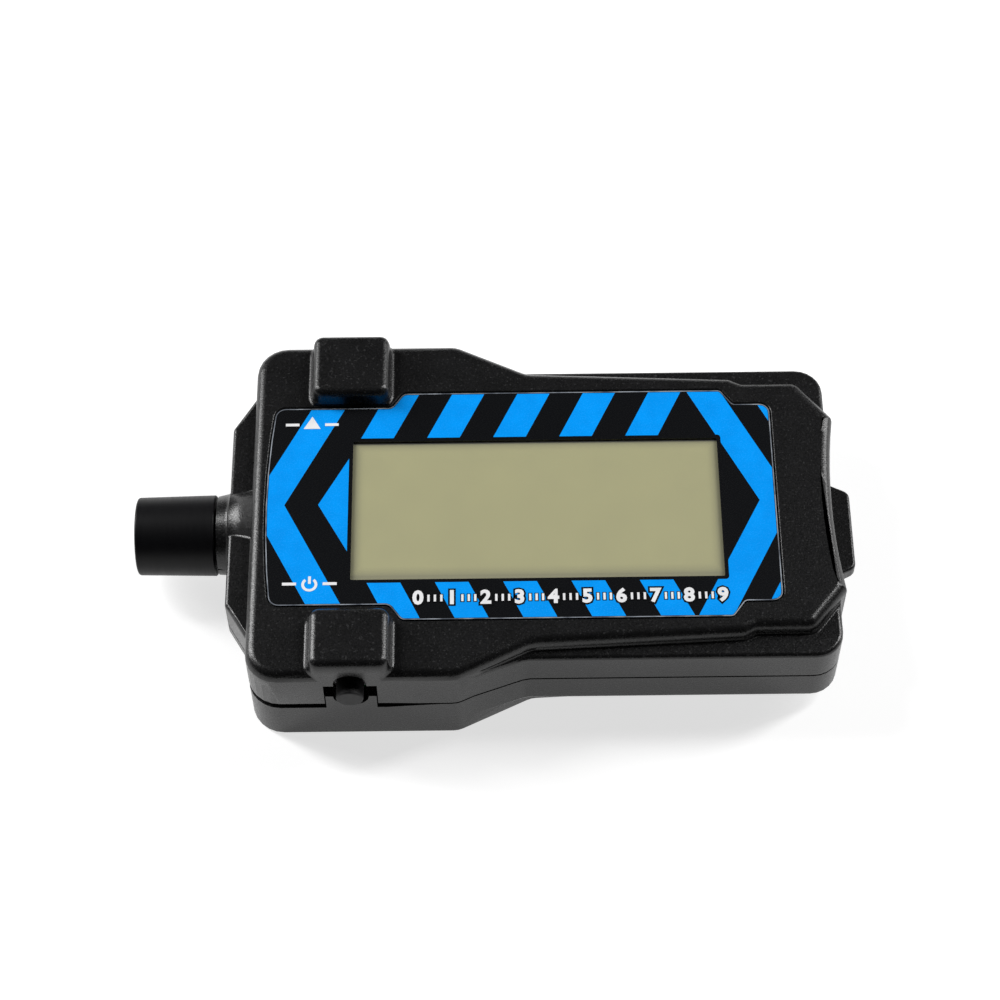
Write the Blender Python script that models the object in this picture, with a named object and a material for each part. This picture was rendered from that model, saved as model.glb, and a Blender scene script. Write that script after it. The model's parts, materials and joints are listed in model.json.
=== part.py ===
"""Pocket optical tachometer: two moulded shells, a sensor hood, two push buttons and a wide display.

The model's own axes: X runs along the length with the hood at -X, Y across with the power button at -Y,
and Z is up, measured from the plane where the two shells meet. All sizes are in metres.
"""
import math

import bmesh
import bpy
from mathutils import Matrix, Vector

for old in list(bpy.data.objects):
    bpy.data.objects.remove(old, do_unlink=True)

# Clearances and working lengths
PARTING_GAP = 0.0003      # between the rims of the shells
SEAT_GAP = 0.0003         # between a piece and what it rests on
CLOSE_GAP = 0.0001        # inside the small switches and around glued pieces
ROOT = 0.0003             # how far a boss, post or rail runs into what it stands on
PAST = 0.0010             # how far a cutter runs past the face that it opens
LAP = 0.00003             # how far a fillet runs into the face that it meets
FAR = 0.0600              # further than any face of the object

# Outline of the case, seen from above
CASE_LEFT = -0.0322
CASE_HALF_WIDTH = 0.0254
CASE_CORNER = 0.0042
SHOULDER_START = -0.0054  # where the wide end begins to taper
SHOULDER_END = 0.0041
SHOULDER_ROUND = 0.0030
WAIST_STEP = 0.0046
WAIST_HALF_WIDTH = CASE_HALF_WIDTH - WAIST_STEP
WAIST_NARROWING = 0.0012  # how much the raised part narrows before its step
WAIST_ROUND = 0.0030
STEP_START = 0.0312
STEP_LENGTH = 0.0016
STEP_ROUND = 0.0012
PADDLE_STEP = 0.0008
PADDLE_HALF_WIDTH = WAIST_HALF_WIDTH - WAIST_NARROWING - PADDLE_STEP
PADDLE_CORNER = 0.0401
PADDLE_ROUND = 0.0016
TIP_RIGHT = 0.0446
TIP_CROP = 0.0057
TIP_HALF_WIDTH = PADDLE_HALF_WIDTH - TIP_CROP
TIP_ROUND = 0.0005
END_HOLLOW = 0.0010       # depth of the hollow curve of the right end

# The ledge below the raised part
LEDGE_STEP = 0.0012
LEDGE_HALF_WIDTH = WAIST_HALF_WIDTH + LEDGE_STEP
LEDGE_SHOULDER_END = 0.0034
LEDGE_RIGHT = 0.0438
LEDGE_CORNER = 0.0036
LEDGE_LEAD = 0.0016       # from the shoulder's start to where the ledge comes out of the raised part
LEDGE_BURIED = 0.0030

# Nose behind the hood, and tab at the other end
NOSE_REACH = 0.0030
NOSE_MARGIN = 0.0068
NOSE_SLANT = 0.0051
NOSE_ROOT_HALF_WIDTH = CASE_HALF_WIDTH - NOSE_MARGIN
NOSE_HALF_WIDTH = NOSE_ROOT_HALF_WIDTH - NOSE_SLANT
NOSE_CORNER = 0.0007
TAB_REACH = 0.0032
TAB_HALF_WIDTH = 0.0058
TAB_ROOT_HALF_WIDTH = 0.0074
TAB_TOP = -0.0002          # the tab belongs to the lower shell
TAB_THICKNESS = 0.0022
TAB_CORNER = 0.0012

# Heights above and below the parting plane
TOP = 0.0075
BOTTOM = 0.0080
LEDGE_HEIGHT = 0.0054
NOSE_TOP = 0.0052
NOSE_BOTTOM = 0.0021
WALL = 0.0018
ROOF = 0.0016
TONGUE_WIDTH = 0.0007
TONGUE_DEPTH = 0.0010
TONGUE_RISE = 0.0008

# The joint between the shells is wide and dark round the wide end, and fades towards the waist
JOINT_DEPTH = 0.0009
JOINT_BELOW = 0.00065
JOINT_ABOVE = 0.00015
JOINT_FADE = 0.0086
JOINT_END_MARGIN = 0.0004
JOINT_FADE_END = SHOULDER_START - JOINT_END_MARGIN
JOINT_FADE_START = JOINT_FADE_END - JOINT_FADE
JOINT_NOSE_MARGIN = 0.0004

# Rounded edges
RIM_ROUND = 0.0014
BASE_ROUND = 0.0005        # round the underside
LEDGE_ROUND = 0.0006
STEP_FOOT = 0.0005         # fillet where the raised part stands on the ledge
RECESS_ROUND = 0.0003
NOSE_ROUND = 0.0005
TAB_ROUND = 0.0004
PAD_ROUND = 0.0011
CHIP_ROUND = 0.0002
BOARD_ROUND = 0.0005
COVER_ROUND = 0.0003

# Buttons and the switches behind them
POWER_X = -0.0189
SET_X = -0.0194
BUTTON_RADIUS = 0.00175
BUTTON_TIP_ROUND = 0.00025
BUTTON_HEIGHT = 0.0043
BUTTON_REACH = 0.0016
BUTTON_FLANGE = 0.00055
SWITCH_WIDTH = 0.0060
SWITCH_DEPTH = 0.0037
SWITCH_COVER = 0.0003
SWITCH_POCKET = 0.0016
SLOT_PLAY = 0.00035
SLOT_RADIUS = BUTTON_RADIUS + SLOT_PLAY
SLOT_RISE = 0.0012        # how far the slot's round top lies above the button's axis
NOTCH_HALF_WIDTH = 0.0034
NOTCH_TOP = 0.0049
SEAT_TAB_TOP = 0.0022
SEAT_TAB_DIP_PLAY = 0.00055
SEAT_TAB_DIP = BUTTON_RADIUS + SEAT_TAB_DIP_PLAY
SEAT_TAB_PLAY = 0.00015
SEAT_TAB_ROOT = 0.0020

# Pads over the two buttons, hollow for the switches
PAD_WALL = 0.0015
PAD_WIDTH = SWITCH_WIDTH + 2 * (SWITCH_COVER + CLOSE_GAP + SEAT_GAP + PAD_WALL)
PAD_RISE = 0.0027
PAD_CORNER = 0.0014
PAD_CORNER_LEAST = 0.0003
PAD_FOOT = 0.0007         # fillet round the foot
PAD_DRAFT = 0.0001

# Label with its display window
LABEL_SIDE_MARGIN = 0.0035
LABEL_STEP = 0.00225
LABEL_HALF_WIDTH = WAIST_HALF_WIDTH - LABEL_SIDE_MARGIN
LABEL_STEP_HALF_WIDTH = LABEL_HALF_WIDTH - LABEL_STEP
LABEL_PAD_GAP = 0.00055
PAD_DIFFERENCE = 0.0010   # how much less deep the power button's pad is
SET_PAD_INNER = LABEL_STEP_HALF_WIDTH + LABEL_PAD_GAP
POWER_PAD_INNER = SET_PAD_INNER + PAD_DIFFERENCE
LABEL_LEFT_MARGIN = 0.0020
LABEL_RIGHT_MARGIN = 0.0084
LABEL_LEFT = CASE_LEFT + LABEL_LEFT_MARGIN
LABEL_BOW = 0.0009
LABEL_RIGHT = TIP_RIGHT - LABEL_RIGHT_MARGIN
LABEL_STEP_LEFT = -0.0132
LABEL_STEP_RIGHT = 0.0306
LABEL_STEP_SLANT = 0.0008
LABEL_LEFT_ROUND = 0.0014
LABEL_STEP_ROUND = 0.0010
LABEL_CROP_ROUND = 0.0007
LABEL_RIGHT_ROUND = 0.0013
LABEL_THICKNESS = 0.0002
LABEL_SUNK = 0.0001
LABEL_MARGIN = 0.00015
INK = 0.00004
INK_MARGIN = 0.0002
WINDOW_LEFT_MARGIN = 0.0112
WINDOW_RIGHT_MARGIN = 0.0072
WINDOW_LEFT = LABEL_LEFT + WINDOW_LEFT_MARGIN
WINDOW_RIGHT = LABEL_RIGHT - WINDOW_RIGHT_MARGIN
WINDOW_CENTRE_X = (WINDOW_LEFT + WINDOW_RIGHT) / 2
WINDOW_CENTRE_Y = -0.0008
WINDOW_LENGTH = WINDOW_RIGHT - WINDOW_LEFT
WINDOW_SIDE_MARGIN = 0.0045
WINDOW_WIDTH = 2 * (LABEL_STEP_HALF_WIDTH - WINDOW_SIDE_MARGIN)
WINDOW_ROUND = 0.0002
WINDOW_FRAME = 0.0005
PANE_LIP = 0.0013
PANE_THICKNESS = 0.0006

# Printed bands
BAND_WIDTH = 0.0043
BAND_PITCH = 0.00873
BAND_COUNT = 5
BAND_LEAN = 0.48
REAR_BAND_START = -0.0181
FRONT_BAND_START = -0.0170
CHEVRON_LEAN = 0.51
CHEVRON_WIDTH = 0.00445
LEFT_CHEVRON_TIP = -0.0278
RIGHT_CHEVRON_TIP = 0.0341
CORNER_BAND_TIP = 0.0423
ARROW_TIP = -0.0234
ARROW_LEAN = 0.55

# Neck, hood and the sensor in it
NECK_RADIUS = 0.0052
UPPER_NECK_FLARE = 0.0007
LOWER_NECK_FLARE = 0.0002
NECK_FOOT = 0.0006        # fillet where the neck stands on the nose
NECK_LENGTH = 0.0047
NECK_END = CASE_LEFT - NECK_LENGTH
HOOD_LENGTH = 0.0107
HOOD_END = NECK_END - HOOD_LENGTH
HOOD_RADIUS = 0.00535
HOOD_TAPER = 0.0002
HOOD_LIP = 0.0003
HOOD_BORE = 0.0039
HOOD_MOUTH_DEPTH = 0.0064
HOOD_STEP = HOOD_END + HOOD_MOUTH_DEPTH
SPIGOT_RADIUS = 0.0036
COLLAR_RADIUS = 0.0042
COLLAR_WIDTH = 0.0009
SPIGOT_LENGTH = 0.0035
SPIGOT_END = NECK_END + SPIGOT_LENGTH
LENS_THICKNESS = 0.0009
LENS_CROWN = 0.0009
SENSOR_RADIUS = 0.0025
SENSOR_FLANGE = 0.0003
SENSOR_FLANGE_THICKNESS = 0.0010
SENSOR_LENGTH = 0.0062
SENSOR_SETBACK = 0.0006
HOOD_THROAT = SENSOR_RADIUS + SENSOR_FLANGE + CLOSE_GAP
LEAD_SPACING = 0.00254
LEAD_RADIUS = 0.00025
LEAD_BEND = 0.0026
LEAD_FOOT = 0.0022

# Display
GLASS_SIDE = 0.0025       # how far the glass runs past the window at each end
GLASS_EDGE = 0.00285      # and at its long sides
GLASS_LENGTH = WINDOW_LENGTH + 2 * GLASS_SIDE
GLASS_WIDTH = WINDOW_WIDTH + 2 * GLASS_EDGE
GLASS_THICKNESS = 0.0007
GLASS_STEP = 0.0024
REFLECTOR_THICKNESS = 0.0002
FRAME_WALL = 0.0012
FRAME_REST = 0.0012
FRAME_CORNER = 0.0006
STRIP_WIDTH = 0.0014
STRIP_END_GAP = 0.0004

# Screws
CASE_SCREW_INSET = 0.0041
CASE_SCREW_WIDE = (CASE_LEFT + CASE_SCREW_INSET, CASE_HALF_WIDTH - CASE_SCREW_INSET)
CASE_SCREW_END_INSET = 0.0018
CASE_SCREW_SIDE_INSET = 0.0038
CASE_SCREW_NARROW = (PADDLE_CORNER - CASE_SCREW_END_INSET, PADDLE_HALF_WIDTH - CASE_SCREW_SIDE_INSET)
CASE_BOSS = 0.0027
CASE_SCREW = 0.0011
CASE_SCREW_HEAD = 0.0019
CASE_SCREW_SINK = 0.0018
CASE_HEAD_HEIGHT = 0.0012
CASE_SCREW_BITE = 0.0040
BOARD_POST = 0.0018
BOARD_SCREW = 0.0008
BOARD_SCREW_HEAD = 0.0015
BOARD_HEAD_HEIGHT = 0.0010
BOARD_SCREW_BITE = 0.0030
SCREW_CLEARANCE = 0.0002
HEAD_ROUND_SHARE = 0.3
SLOT_REACH_SHARE = 0.55
SLOT_WIDTH_SHARE = 0.26
SLOT_DEPTH_SHARE = 0.5

# Circuit board, shaped to pass the screw bosses
BOARD_TOP = 0.0012
BOARD_THICKNESS = 0.0016
BOARD_MARGIN = 0.0004
BOARD_WAIST_MARGIN = 0.0014
BOARD_LEFT = CASE_LEFT + WALL + CLOSE_GAP + BOARD_MARGIN
BOARD_END_MARGIN = 0.0040
BOARD_SCREW_INSET = 0.0029
BOARD_SCREW_SIDE_INSET = 0.0033
BOARD_SHOULDER_LEAD = 0.0014
BOARD_WAIST_LEAD = 0.0011
BOARD_RIGHT = LEDGE_RIGHT - WALL - BOARD_END_MARGIN
BOARD_END_START = CASE_SCREW_NARROW[0] - CASE_BOSS - SEAT_GAP
BOARD_END_HALF_WIDTH = CASE_SCREW_NARROW[1] - CASE_BOSS - SEAT_GAP
BOARD_WAIST_HALF_WIDTH = LEDGE_HALF_WIDTH - WALL - BOARD_WAIST_MARGIN
BOARD_LEFT_HALF_WIDTH = CASE_SCREW_WIDE[1] - CASE_BOSS - SEAT_GAP
BOARD_WIDE_START = CASE_SCREW_WIDE[0] + CASE_BOSS + SEAT_GAP
BOARD_WIDE_END = SHOULDER_START - BOARD_SHOULDER_LEAD
BOARD_WAIST_START = LEDGE_SHOULDER_END - BOARD_WAIST_LEAD
BOARD_SCREW_LEFT = (BOARD_LEFT + BOARD_SCREW_INSET, BOARD_LEFT_HALF_WIDTH - BOARD_SCREW_SIDE_INSET)
BOARD_SCREW_RIGHT = (BOARD_RIGHT - BOARD_SCREW_INSET, 0.0)

# Battery and its sliding door
CELL_RADIUS = 0.0100
CELL_THICKNESS = 0.0032
CELL_RIM = 0.0003
CELL_STEP = 0.0008
CELL_SHOULDER = 0.0012
HOLDER_WALL = 0.0012
HOLDER_BASE = 0.0010
CONTACT_THICKNESS = 0.0003
CONTACT_HALF_WIDTH = 0.0020
CLIP_FOOT = 0.0030
SPRING_REACH = 0.0070
HOLDER_BORE = CELL_RADIUS + SEAT_GAP + CONTACT_THICKNESS
HOLDER_RADIUS = HOLDER_BORE + HOLDER_WALL
CELL_X = CASE_LEFT + WALL + SEAT_GAP + HOLDER_RADIUS
DOOR_MARGIN = 0.0013
DOOR_RIGHT = CELL_X + CELL_RADIUS + DOOR_MARGIN
DOOR_HALF_WIDTH = CELL_RADIUS + DOOR_MARGIN
DOOR_THICKNESS = 0.0014
DOOR_PASS = 0.0002        # gap to the hood, as the door slides out under it
DOOR_LIP = BOTTOM - HOOD_RADIUS - DOOR_PASS
DOOR_TONGUE = 0.0010
DOOR_TONGUE_THICKNESS = 0.0006
DOOR_PLAY = 0.00015
RAIL_WIDTH = 0.0010
RAIL_THICKNESS = 0.0008
RIB_Y = 0.0045
RIB_WIDTH = 0.0010
GRIP_COUNT = 5
GRIP_PITCH = 0.0014
GRIP_WIDTH = 0.0006
GRIP_DEPTH = 0.0003
GRIP_HALF_LENGTH = 0.0045
GRIP_MARGIN = 0.0057
GRIP_START = CASE_LEFT + GRIP_MARGIN

# Chips and other parts on the board: middle x, middle y, length, width, height
PROCESSOR = (0.0080, -0.0030, 0.0100, 0.0100, 0.0016)
AMPLIFIER_INSET = 0.0037
AMPLIFIER = (BOARD_LEFT + AMPLIFIER_INSET, 0.0062, 0.0040, 0.0050, 0.0015)
CRYSTAL = (0.0220, 0.0080, 0.0110, 0.0047, 0.0035)
CAPACITOR = (0.0240, -0.0080, 0.0050, 0.0050, 0.0050)
CRYSTAL_END_ROUND = 0.0022
CAPACITOR_GROOVE = 0.0003

ROUND_STEPS = 3
ARC_STEPS = 6
HIDDEN_STEPS = 3          # arcs that nobody sees
SCREW_SIDES = 12

HALF_GAP = PARTING_GAP / 2


def material(name, colour, roughness, metallic=0.0, alpha=1.0):
    made = bpy.data.materials.new(name)
    made.use_nodes = True
    shader = made.node_tree.nodes["Principled BSDF"]
    shader.inputs["Base Color"].default_value = (*colour, 1.0)
    shader.inputs["Roughness"].default_value = roughness
    shader.inputs["Metallic"].default_value = metallic
    shader.inputs["Alpha"].default_value = alpha
    made.diffuse_color = (*colour, alpha)
    return made


GRAINED_PLASTIC = material("grained black plastic", (0.018, 0.018, 0.020), 0.55)
SATIN_PLASTIC = material("satin black plastic", (0.012, 0.012, 0.013), 0.35)
BUTTON_PLASTIC = material("dark grey plastic", (0.055, 0.055, 0.058), 0.45)
LABEL_FILM = material("black label film", (0.010, 0.011, 0.014), 0.35)
LABEL_INK = material("blue ink", (0.0, 0.33, 0.95), 0.40)
CLEAR_PANE = material("clear acrylic", (0.90, 0.92, 0.90), 0.08, alpha=0.25)
DISPLAY_GLASS = material("display glass", (0.38, 0.36, 0.20), 0.25)
REFLECTOR = material("grey green reflector", (0.40, 0.37, 0.20), 0.45)
FRAME_PLASTIC = material("white plastic", (0.75, 0.75, 0.72), 0.50)
STRIP_RUBBER = material("pale silicone", (0.62, 0.60, 0.56), 0.70)
BOARD_LAMINATE = material("green board", (0.02, 0.16, 0.06), 0.40)
CHIP_RESIN = material("chip resin", (0.02, 0.02, 0.02), 0.50)
STEEL = material("bright steel", (0.60, 0.60, 0.61), 0.30, metallic=1.0)
TINNED_WIRE = material("tinned wire", (0.70, 0.70, 0.70), 0.35, metallic=1.0)
BRASS_SPRING = material("gilded spring metal", (0.75, 0.58, 0.30), 0.30, metallic=1.0)
SENSOR_RESIN = material("smoked resin", (0.05, 0.03, 0.05), 0.15)
CAPACITOR_SLEEVE = material("capacitor sleeve", (0.03, 0.05, 0.12), 0.35)

# Everything hangs from one empty, so the origin lies under the middle of the object
base = bpy.data.objects.new("tachometer", None)
bpy.context.scene.collection.objects.link(base)
HOOD_TO_TAB_MIDDLE = (HOOD_END + LEDGE_RIGHT + TAB_REACH) / 2
base.location = (-HOOD_TO_TAB_MIDDLE, 0.0, BOTTOM)


def turn(corner, before, after):
    """Signed turn at a corner, positive to the left."""
    inward = Vector(corner[:2]) - Vector(before[:2])
    outward = Vector(after[:2]) - Vector(corner[:2])
    return math.atan2(inward.x * outward.y - inward.y * outward.x, inward.dot(outward))


def rounded(corners, steps=ARC_STEPS):
    """Outline points, with each (x, y, radius) corner turned into an arc."""
    points = []
    count = len(corners)
    for index, corner in enumerate(corners):
        before = corners[index - 1]
        after = corners[(index + 1) % count]
        angle = turn(corner, before, after)
        radius = corner[2]
        if radius <= 0.0 or abs(angle) < 0.01:
            points.append((corner[0], corner[1]))
            continue
        here = Vector(corner[:2])
        back = (Vector(before[:2]) - here).normalized()
        ahead = (Vector(after[:2]) - here).normalized()
        reach = radius * math.tan(abs(angle) / 2)
        start = here + back * reach
        side = Vector((-back.y, back.x)) * (-1.0 if angle > 0 else 1.0)
        centre = start + side * radius
        arm = start - centre
        pieces = max(1, round(steps * abs(angle) / (math.pi / 2)))
        for piece in range(pieces + 1):
            sweep = angle * piece / pieces
            turned = Matrix.Rotation(sweep, 2) @ arm
            points.append((centre.x + turned.x, centre.y + turned.y))
    return points


def inset(corners, distance):
    """The same corners moved inwards by a wall's thickness, for an outline that runs anticlockwise."""
    moved = []
    count = len(corners)
    for index, corner in enumerate(corners):
        before = corners[index - 1]
        after = corners[(index + 1) % count]
        here = Vector(corner[:2])
        along_in = (here - Vector(before[:2])).normalized()
        along_out = (Vector(after[:2]) - here).normalized()
        normal_in = Vector((-along_in.y, along_in.x))
        normal_out = Vector((-along_out.y, along_out.x))
        middle = (normal_in + normal_out) / (1.0 + normal_in.dot(normal_out))
        place = here + middle * distance
        convex = turn(corner, before, after) > 0
        radius = max(corner[2] - distance, 0.0) if convex else corner[2] + distance
        moved.append((place.x, place.y, radius))
    return moved


def mirrored(upper_half):
    """A closed anticlockwise outline from its half at positive Y, listed from left to right."""
    lower_half = [(x, -y, radius) for x, y, radius in upper_half]
    return lower_half + list(reversed(upper_half))


def raised_outline():
    """The raised part: wide left end, waist, stepped sides, cropped corners and a hollow right end."""
    narrowed = WAIST_HALF_WIDTH - WAIST_NARROWING
    half = [
        (CASE_LEFT, CASE_HALF_WIDTH, CASE_CORNER),
        (SHOULDER_START, CASE_HALF_WIDTH, SHOULDER_ROUND),
        (SHOULDER_END, WAIST_HALF_WIDTH, WAIST_ROUND),
        (STEP_START, narrowed, STEP_ROUND),
        (STEP_START + STEP_LENGTH, PADDLE_HALF_WIDTH, STEP_ROUND),
        (PADDLE_CORNER, PADDLE_HALF_WIDTH, PADDLE_ROUND),
        (TIP_RIGHT, TIP_HALF_WIDTH, TIP_ROUND),
    ]
    hollow = []
    steps = 5
    for step in range(1, steps + 1):
        share = 1.0 - step / steps
        hollow.append((TIP_RIGHT - END_HOLLOW * (1.0 - share ** 2), TIP_HALF_WIDTH * share, 0.0))
    outline = mirrored(half + hollow[:-1])
    middle = len(half) + len(hollow) - 1
    outline.insert(middle, hollow[-1])
    return outline


def ledge_outline():
    """The lower tier that shows beside the waist; its left end lies inside the raised part."""
    slope = (CASE_HALF_WIDTH - WAIST_HALF_WIDTH) / (SHOULDER_END - SHOULDER_START)
    half = [
        (SHOULDER_START - LEDGE_BURIED, LEDGE_HALF_WIDTH - WALL, 0.0),
        (SHOULDER_START + LEDGE_LEAD, CASE_HALF_WIDTH - slope * LEDGE_LEAD - CLOSE_GAP / 2, 0.0),
        (LEDGE_SHOULDER_END, LEDGE_HALF_WIDTH, WAIST_ROUND),
        (LEDGE_RIGHT, LEDGE_HALF_WIDTH, LEDGE_CORNER),
    ]
    return mirrored(half)


def wedge_outline(root, reach, root_half, end_half, corner):
    """A trapezoid that stands out from an end wall; a negative reach points to the left."""
    overlap = math.copysign(PAST, -reach)
    half = [(root + reach, end_half, corner), (root, root_half, 0.0), (root + overlap, root_half, 0.0)]
    if reach > 0:
        half.reverse()
    return mirrored(half)


def box_outline(left, right, front, rear, corner=0.0):
    return [(left, front, corner), (right, front, corner), (right, rear, corner), (left, rear, corner)]


def case_outline():
    """The case where its two shells meet."""
    return mirrored([
        (CASE_LEFT, CASE_HALF_WIDTH, CASE_CORNER),
        (SHOULDER_START, CASE_HALF_WIDTH, SHOULDER_ROUND),
        (LEDGE_SHOULDER_END, LEDGE_HALF_WIDTH, WAIST_ROUND),
        (LEDGE_RIGHT, LEDGE_HALF_WIDTH, LEDGE_CORNER),
    ])


CASE = case_outline()
RAISED = raised_outline()
LEDGE = ledge_outline()
NOSE = wedge_outline(CASE_LEFT, -NOSE_REACH, NOSE_ROOT_HALF_WIDTH, NOSE_HALF_WIDTH, NOSE_CORNER)
TAB = wedge_outline(LEDGE_RIGHT, TAB_REACH, TAB_ROOT_HALF_WIDTH, TAB_HALF_WIDTH, TAB_CORNER)


def add_prism(shape, corners, low, high, round_low=0.0, round_high=0.0, arc_steps=ARC_STEPS):
    """Extrudes an outline upwards and rounds its rims."""
    ring = [shape.verts.new((x, y, low)) for x, y in rounded(corners, arc_steps)]
    face = shape.faces.new(ring)
    made = bmesh.ops.extrude_face_region(shape, geom=[face])["geom"]
    lid = [item for item in made if isinstance(item, bmesh.types.BMVert)]
    bmesh.ops.translate(shape, verts=lid, vec=(0.0, 0.0, high - low))
    for verts, size in ((lid, round_high), (ring, round_low)):
        if size <= 0.0:
            continue
        chosen = set(verts)
        rim = [edge for edge in shape.edges if edge.verts[0] in chosen and edge.verts[1] in chosen]
        bmesh.ops.bevel(shape, geom=rim, offset=size, segments=ROUND_STEPS, profile=0.5,
                        affect="EDGES", clamp_overlap=False)


def add_stack(shape, levels):
    """Joins outlines of one point count, each at its own height, into a solid."""
    rings = [[shape.verts.new((x, y, height)) for x, y in outline] for outline, height in levels]
    for below, above in zip(rings, rings[1:]):
        for index, corner in enumerate(below):
            following = (index + 1) % len(below)
            shape.faces.new((corner, below[following], above[following], above[index]))
    shape.faces.new(rings[0])
    shape.faces.new(rings[-1])


def quarter(steps=ROUND_STEPS):
    """How far a quarter round has come in and how far it has risen, from its foot to its top."""
    turns = [math.pi / 2 * step / steps for step in range(steps + 1)]
    return [(1.0 - math.cos(angle), math.sin(angle)) for angle in turns]


def add_lathe(shape, profile, segments=48, upright=False, closed=False):
    """Turns an (axial, radius) profile about X, or about Z. An open profile starts and ends on the axis."""
    if upright:
        chain = [shape.verts.new((radius, 0.0, axial)) for axial, radius in profile]
    else:
        chain = [shape.verts.new((axial, 0.0, radius)) for axial, radius in profile]
    pairs = list(zip(chain, chain[1:]))
    if closed:
        pairs.append((chain[-1], chain[0]))
    edges = [shape.edges.new(pair) for pair in pairs]
    axis = (0, 0, 1) if upright else (1, 0, 0)
    bmesh.ops.spin(shape, geom=chain + edges, cent=(0, 0, 0), axis=axis, angle=math.tau,
                   steps=segments, use_merge=True)
    bmesh.ops.remove_doubles(shape, verts=shape.verts, dist=1e-7)


def add_rod(shape, centre, axis, radius, start, end, segments=20):
    """A round rod along X, Y or Z, from start to end on that axis."""
    turns = {"X": Matrix.Rotation(math.pi / 2, 4, "Y"), "Y": Matrix.Rotation(math.pi / 2, 4, "X"),
             "Z": Matrix.Identity(4)}
    offset = {"X": Vector((1, 0, 0)), "Y": Vector((0, 1, 0)), "Z": Vector((0, 0, 1))}[axis]
    place = Vector(centre) + offset * (start + end) / 2
    bmesh.ops.create_cone(shape, cap_ends=True, segments=segments, radius1=radius, radius2=radius,
                          depth=abs(end - start), matrix=Matrix.Translation(place) @ turns[axis])


def finish(shape, name, finish_material=None, location=(0.0, 0.0, 0.0), smooth=35.0):
    """Makes the object, with its faces pointing out, under the base empty."""
    bmesh.ops.recalc_face_normals(shape, faces=shape.faces)
    mesh = bpy.data.meshes.new(name)
    shape.to_mesh(mesh)
    shape.free()
    if finish_material is not None:
        mesh.materials.append(finish_material)
    made = bpy.data.objects.new(name, mesh)
    bpy.context.scene.collection.objects.link(made)
    made.parent = base
    made.location = location
    mesh.shade_smooth()
    mesh.set_sharp_from_angle(angle=math.radians(smooth))
    return made


def tool(shape, name):
    """A solid that only shapes another one."""
    made = finish(shape, name)
    made.hide_render = True
    made.display_type = "WIRE"
    return made


def boolean(target, operation, other):
    change = target.modifiers.new(other.name, "BOOLEAN")
    change.operation = operation
    change.solver = "EXACT"
    change.object = other
    if operation == "UNION":
        change.material_mode = "TRANSFER"


def add(target, shape, name):
    boolean(target, "UNION", tool(shape, name))


def cut(target, shape, name):
    boolean(target, "DIFFERENCE", tool(shape, name))


def prism(corners, low, high, round_low=0.0, round_high=0.0, arc_steps=ARC_STEPS):
    shape = bmesh.new()
    add_prism(shape, corners, low, high, round_low, round_high, arc_steps)
    return shape


def rods(places, radius, low, high, segments=20):
    """Upright rods that share one radius and one height."""
    shape = bmesh.new()
    for x, y in places:
        add_rod(shape, (x, y, 0.0), "Z", radius, low, high, segments)
    return shape


def both_sides(places):
    return [(x, side * y) for x, y in places for side in (-1, 1)]


CASE_SCREWS = both_sides([CASE_SCREW_WIDE, CASE_SCREW_NARROW])
BOARD_SCREWS = both_sides([BOARD_SCREW_LEFT]) + [BOARD_SCREW_RIGHT]
BOARD_BOTTOM = BOARD_TOP - BOARD_THICKNESS


def neck(flare):
    """The round neck that runs into the end of the case, with a fillet at the nose's face."""
    inside = CASE_LEFT + WALL / 2
    face = CASE_LEFT - NOSE_REACH
    slope = flare / (CASE_LEFT - NECK_END)
    foot = NECK_RADIUS + slope * (face - NECK_END)
    profile = [(NECK_END, 0.0), (NECK_END, NECK_RADIUS)]
    for come, risen in quarter():
        profile.append((face + LAP - NECK_FOOT * (1.0 - risen), foot + NECK_FOOT * come))
    profile += [(inside, NECK_RADIUS + NECK_FOOT + slope * (inside - NECK_END)), (inside, 0.0)]
    shape = bmesh.new()
    add_lathe(shape, profile)
    return shape


def hood_socket():
    """The bore and the collar's groove, which the shells' halves close around the hood."""
    shape = bmesh.new()
    bore = SPIGOT_RADIUS + CLOSE_GAP
    groove = COLLAR_RADIUS + CLOSE_GAP
    left = SPIGOT_END - COLLAR_WIDTH - CLOSE_GAP
    deep = CASE_LEFT + WALL * 2
    add_lathe(shape, [(NECK_END - PAST, 0.0), (NECK_END - PAST, bore), (left, bore), (left, groove),
                      (SPIGOT_END + CLOSE_GAP, groove), (SPIGOT_END + CLOSE_GAP, bore), (deep, bore),
                      (deep, 0.0)])
    return shape


def slot_outline(half_width, radius, rise):
    """The opening in a side wall round a button: an arch on a wider notch, open at the parting plane."""
    centre = BUTTON_HEIGHT + rise
    arch = []
    steps = 10
    for step in range(steps + 1):
        angle = math.pi * step / steps
        arch.append((radius * math.cos(angle), centre + radius * math.sin(angle)))
    foot = -TONGUE_DEPTH - PAST
    return ([(-half_width, foot), (half_width, foot), (half_width, NOTCH_TOP), (radius, NOTCH_TOP)]
            + arch + [(-radius, NOTCH_TOP), (-half_width, NOTCH_TOP)])


def add_cross_prism(shape, outline, start, end):
    """Extrudes an (x, z) outline along Y."""
    face = shape.faces.new([shape.verts.new((x, start, z)) for x, z in outline])
    made = bmesh.ops.extrude_face_region(shape, geom=[face])["geom"]
    moved = [item for item in made if isinstance(item, bmesh.types.BMVert)]
    bmesh.ops.translate(shape, verts=moved, vec=(0.0, end - start, 0.0))


def button_x(side):
    return SET_X if side > 0 else POWER_X


def add_wall_prism(shape, outline, side, near, far):
    """Extrudes an outline round a button's axis, between two distances in from the wall's outer face."""
    placed = [(button_x(side) + x, z) for x, z in outline]
    add_cross_prism(shape, placed, side * (CASE_HALF_WIDTH - near), side * (CASE_HALF_WIDTH - far))


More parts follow.
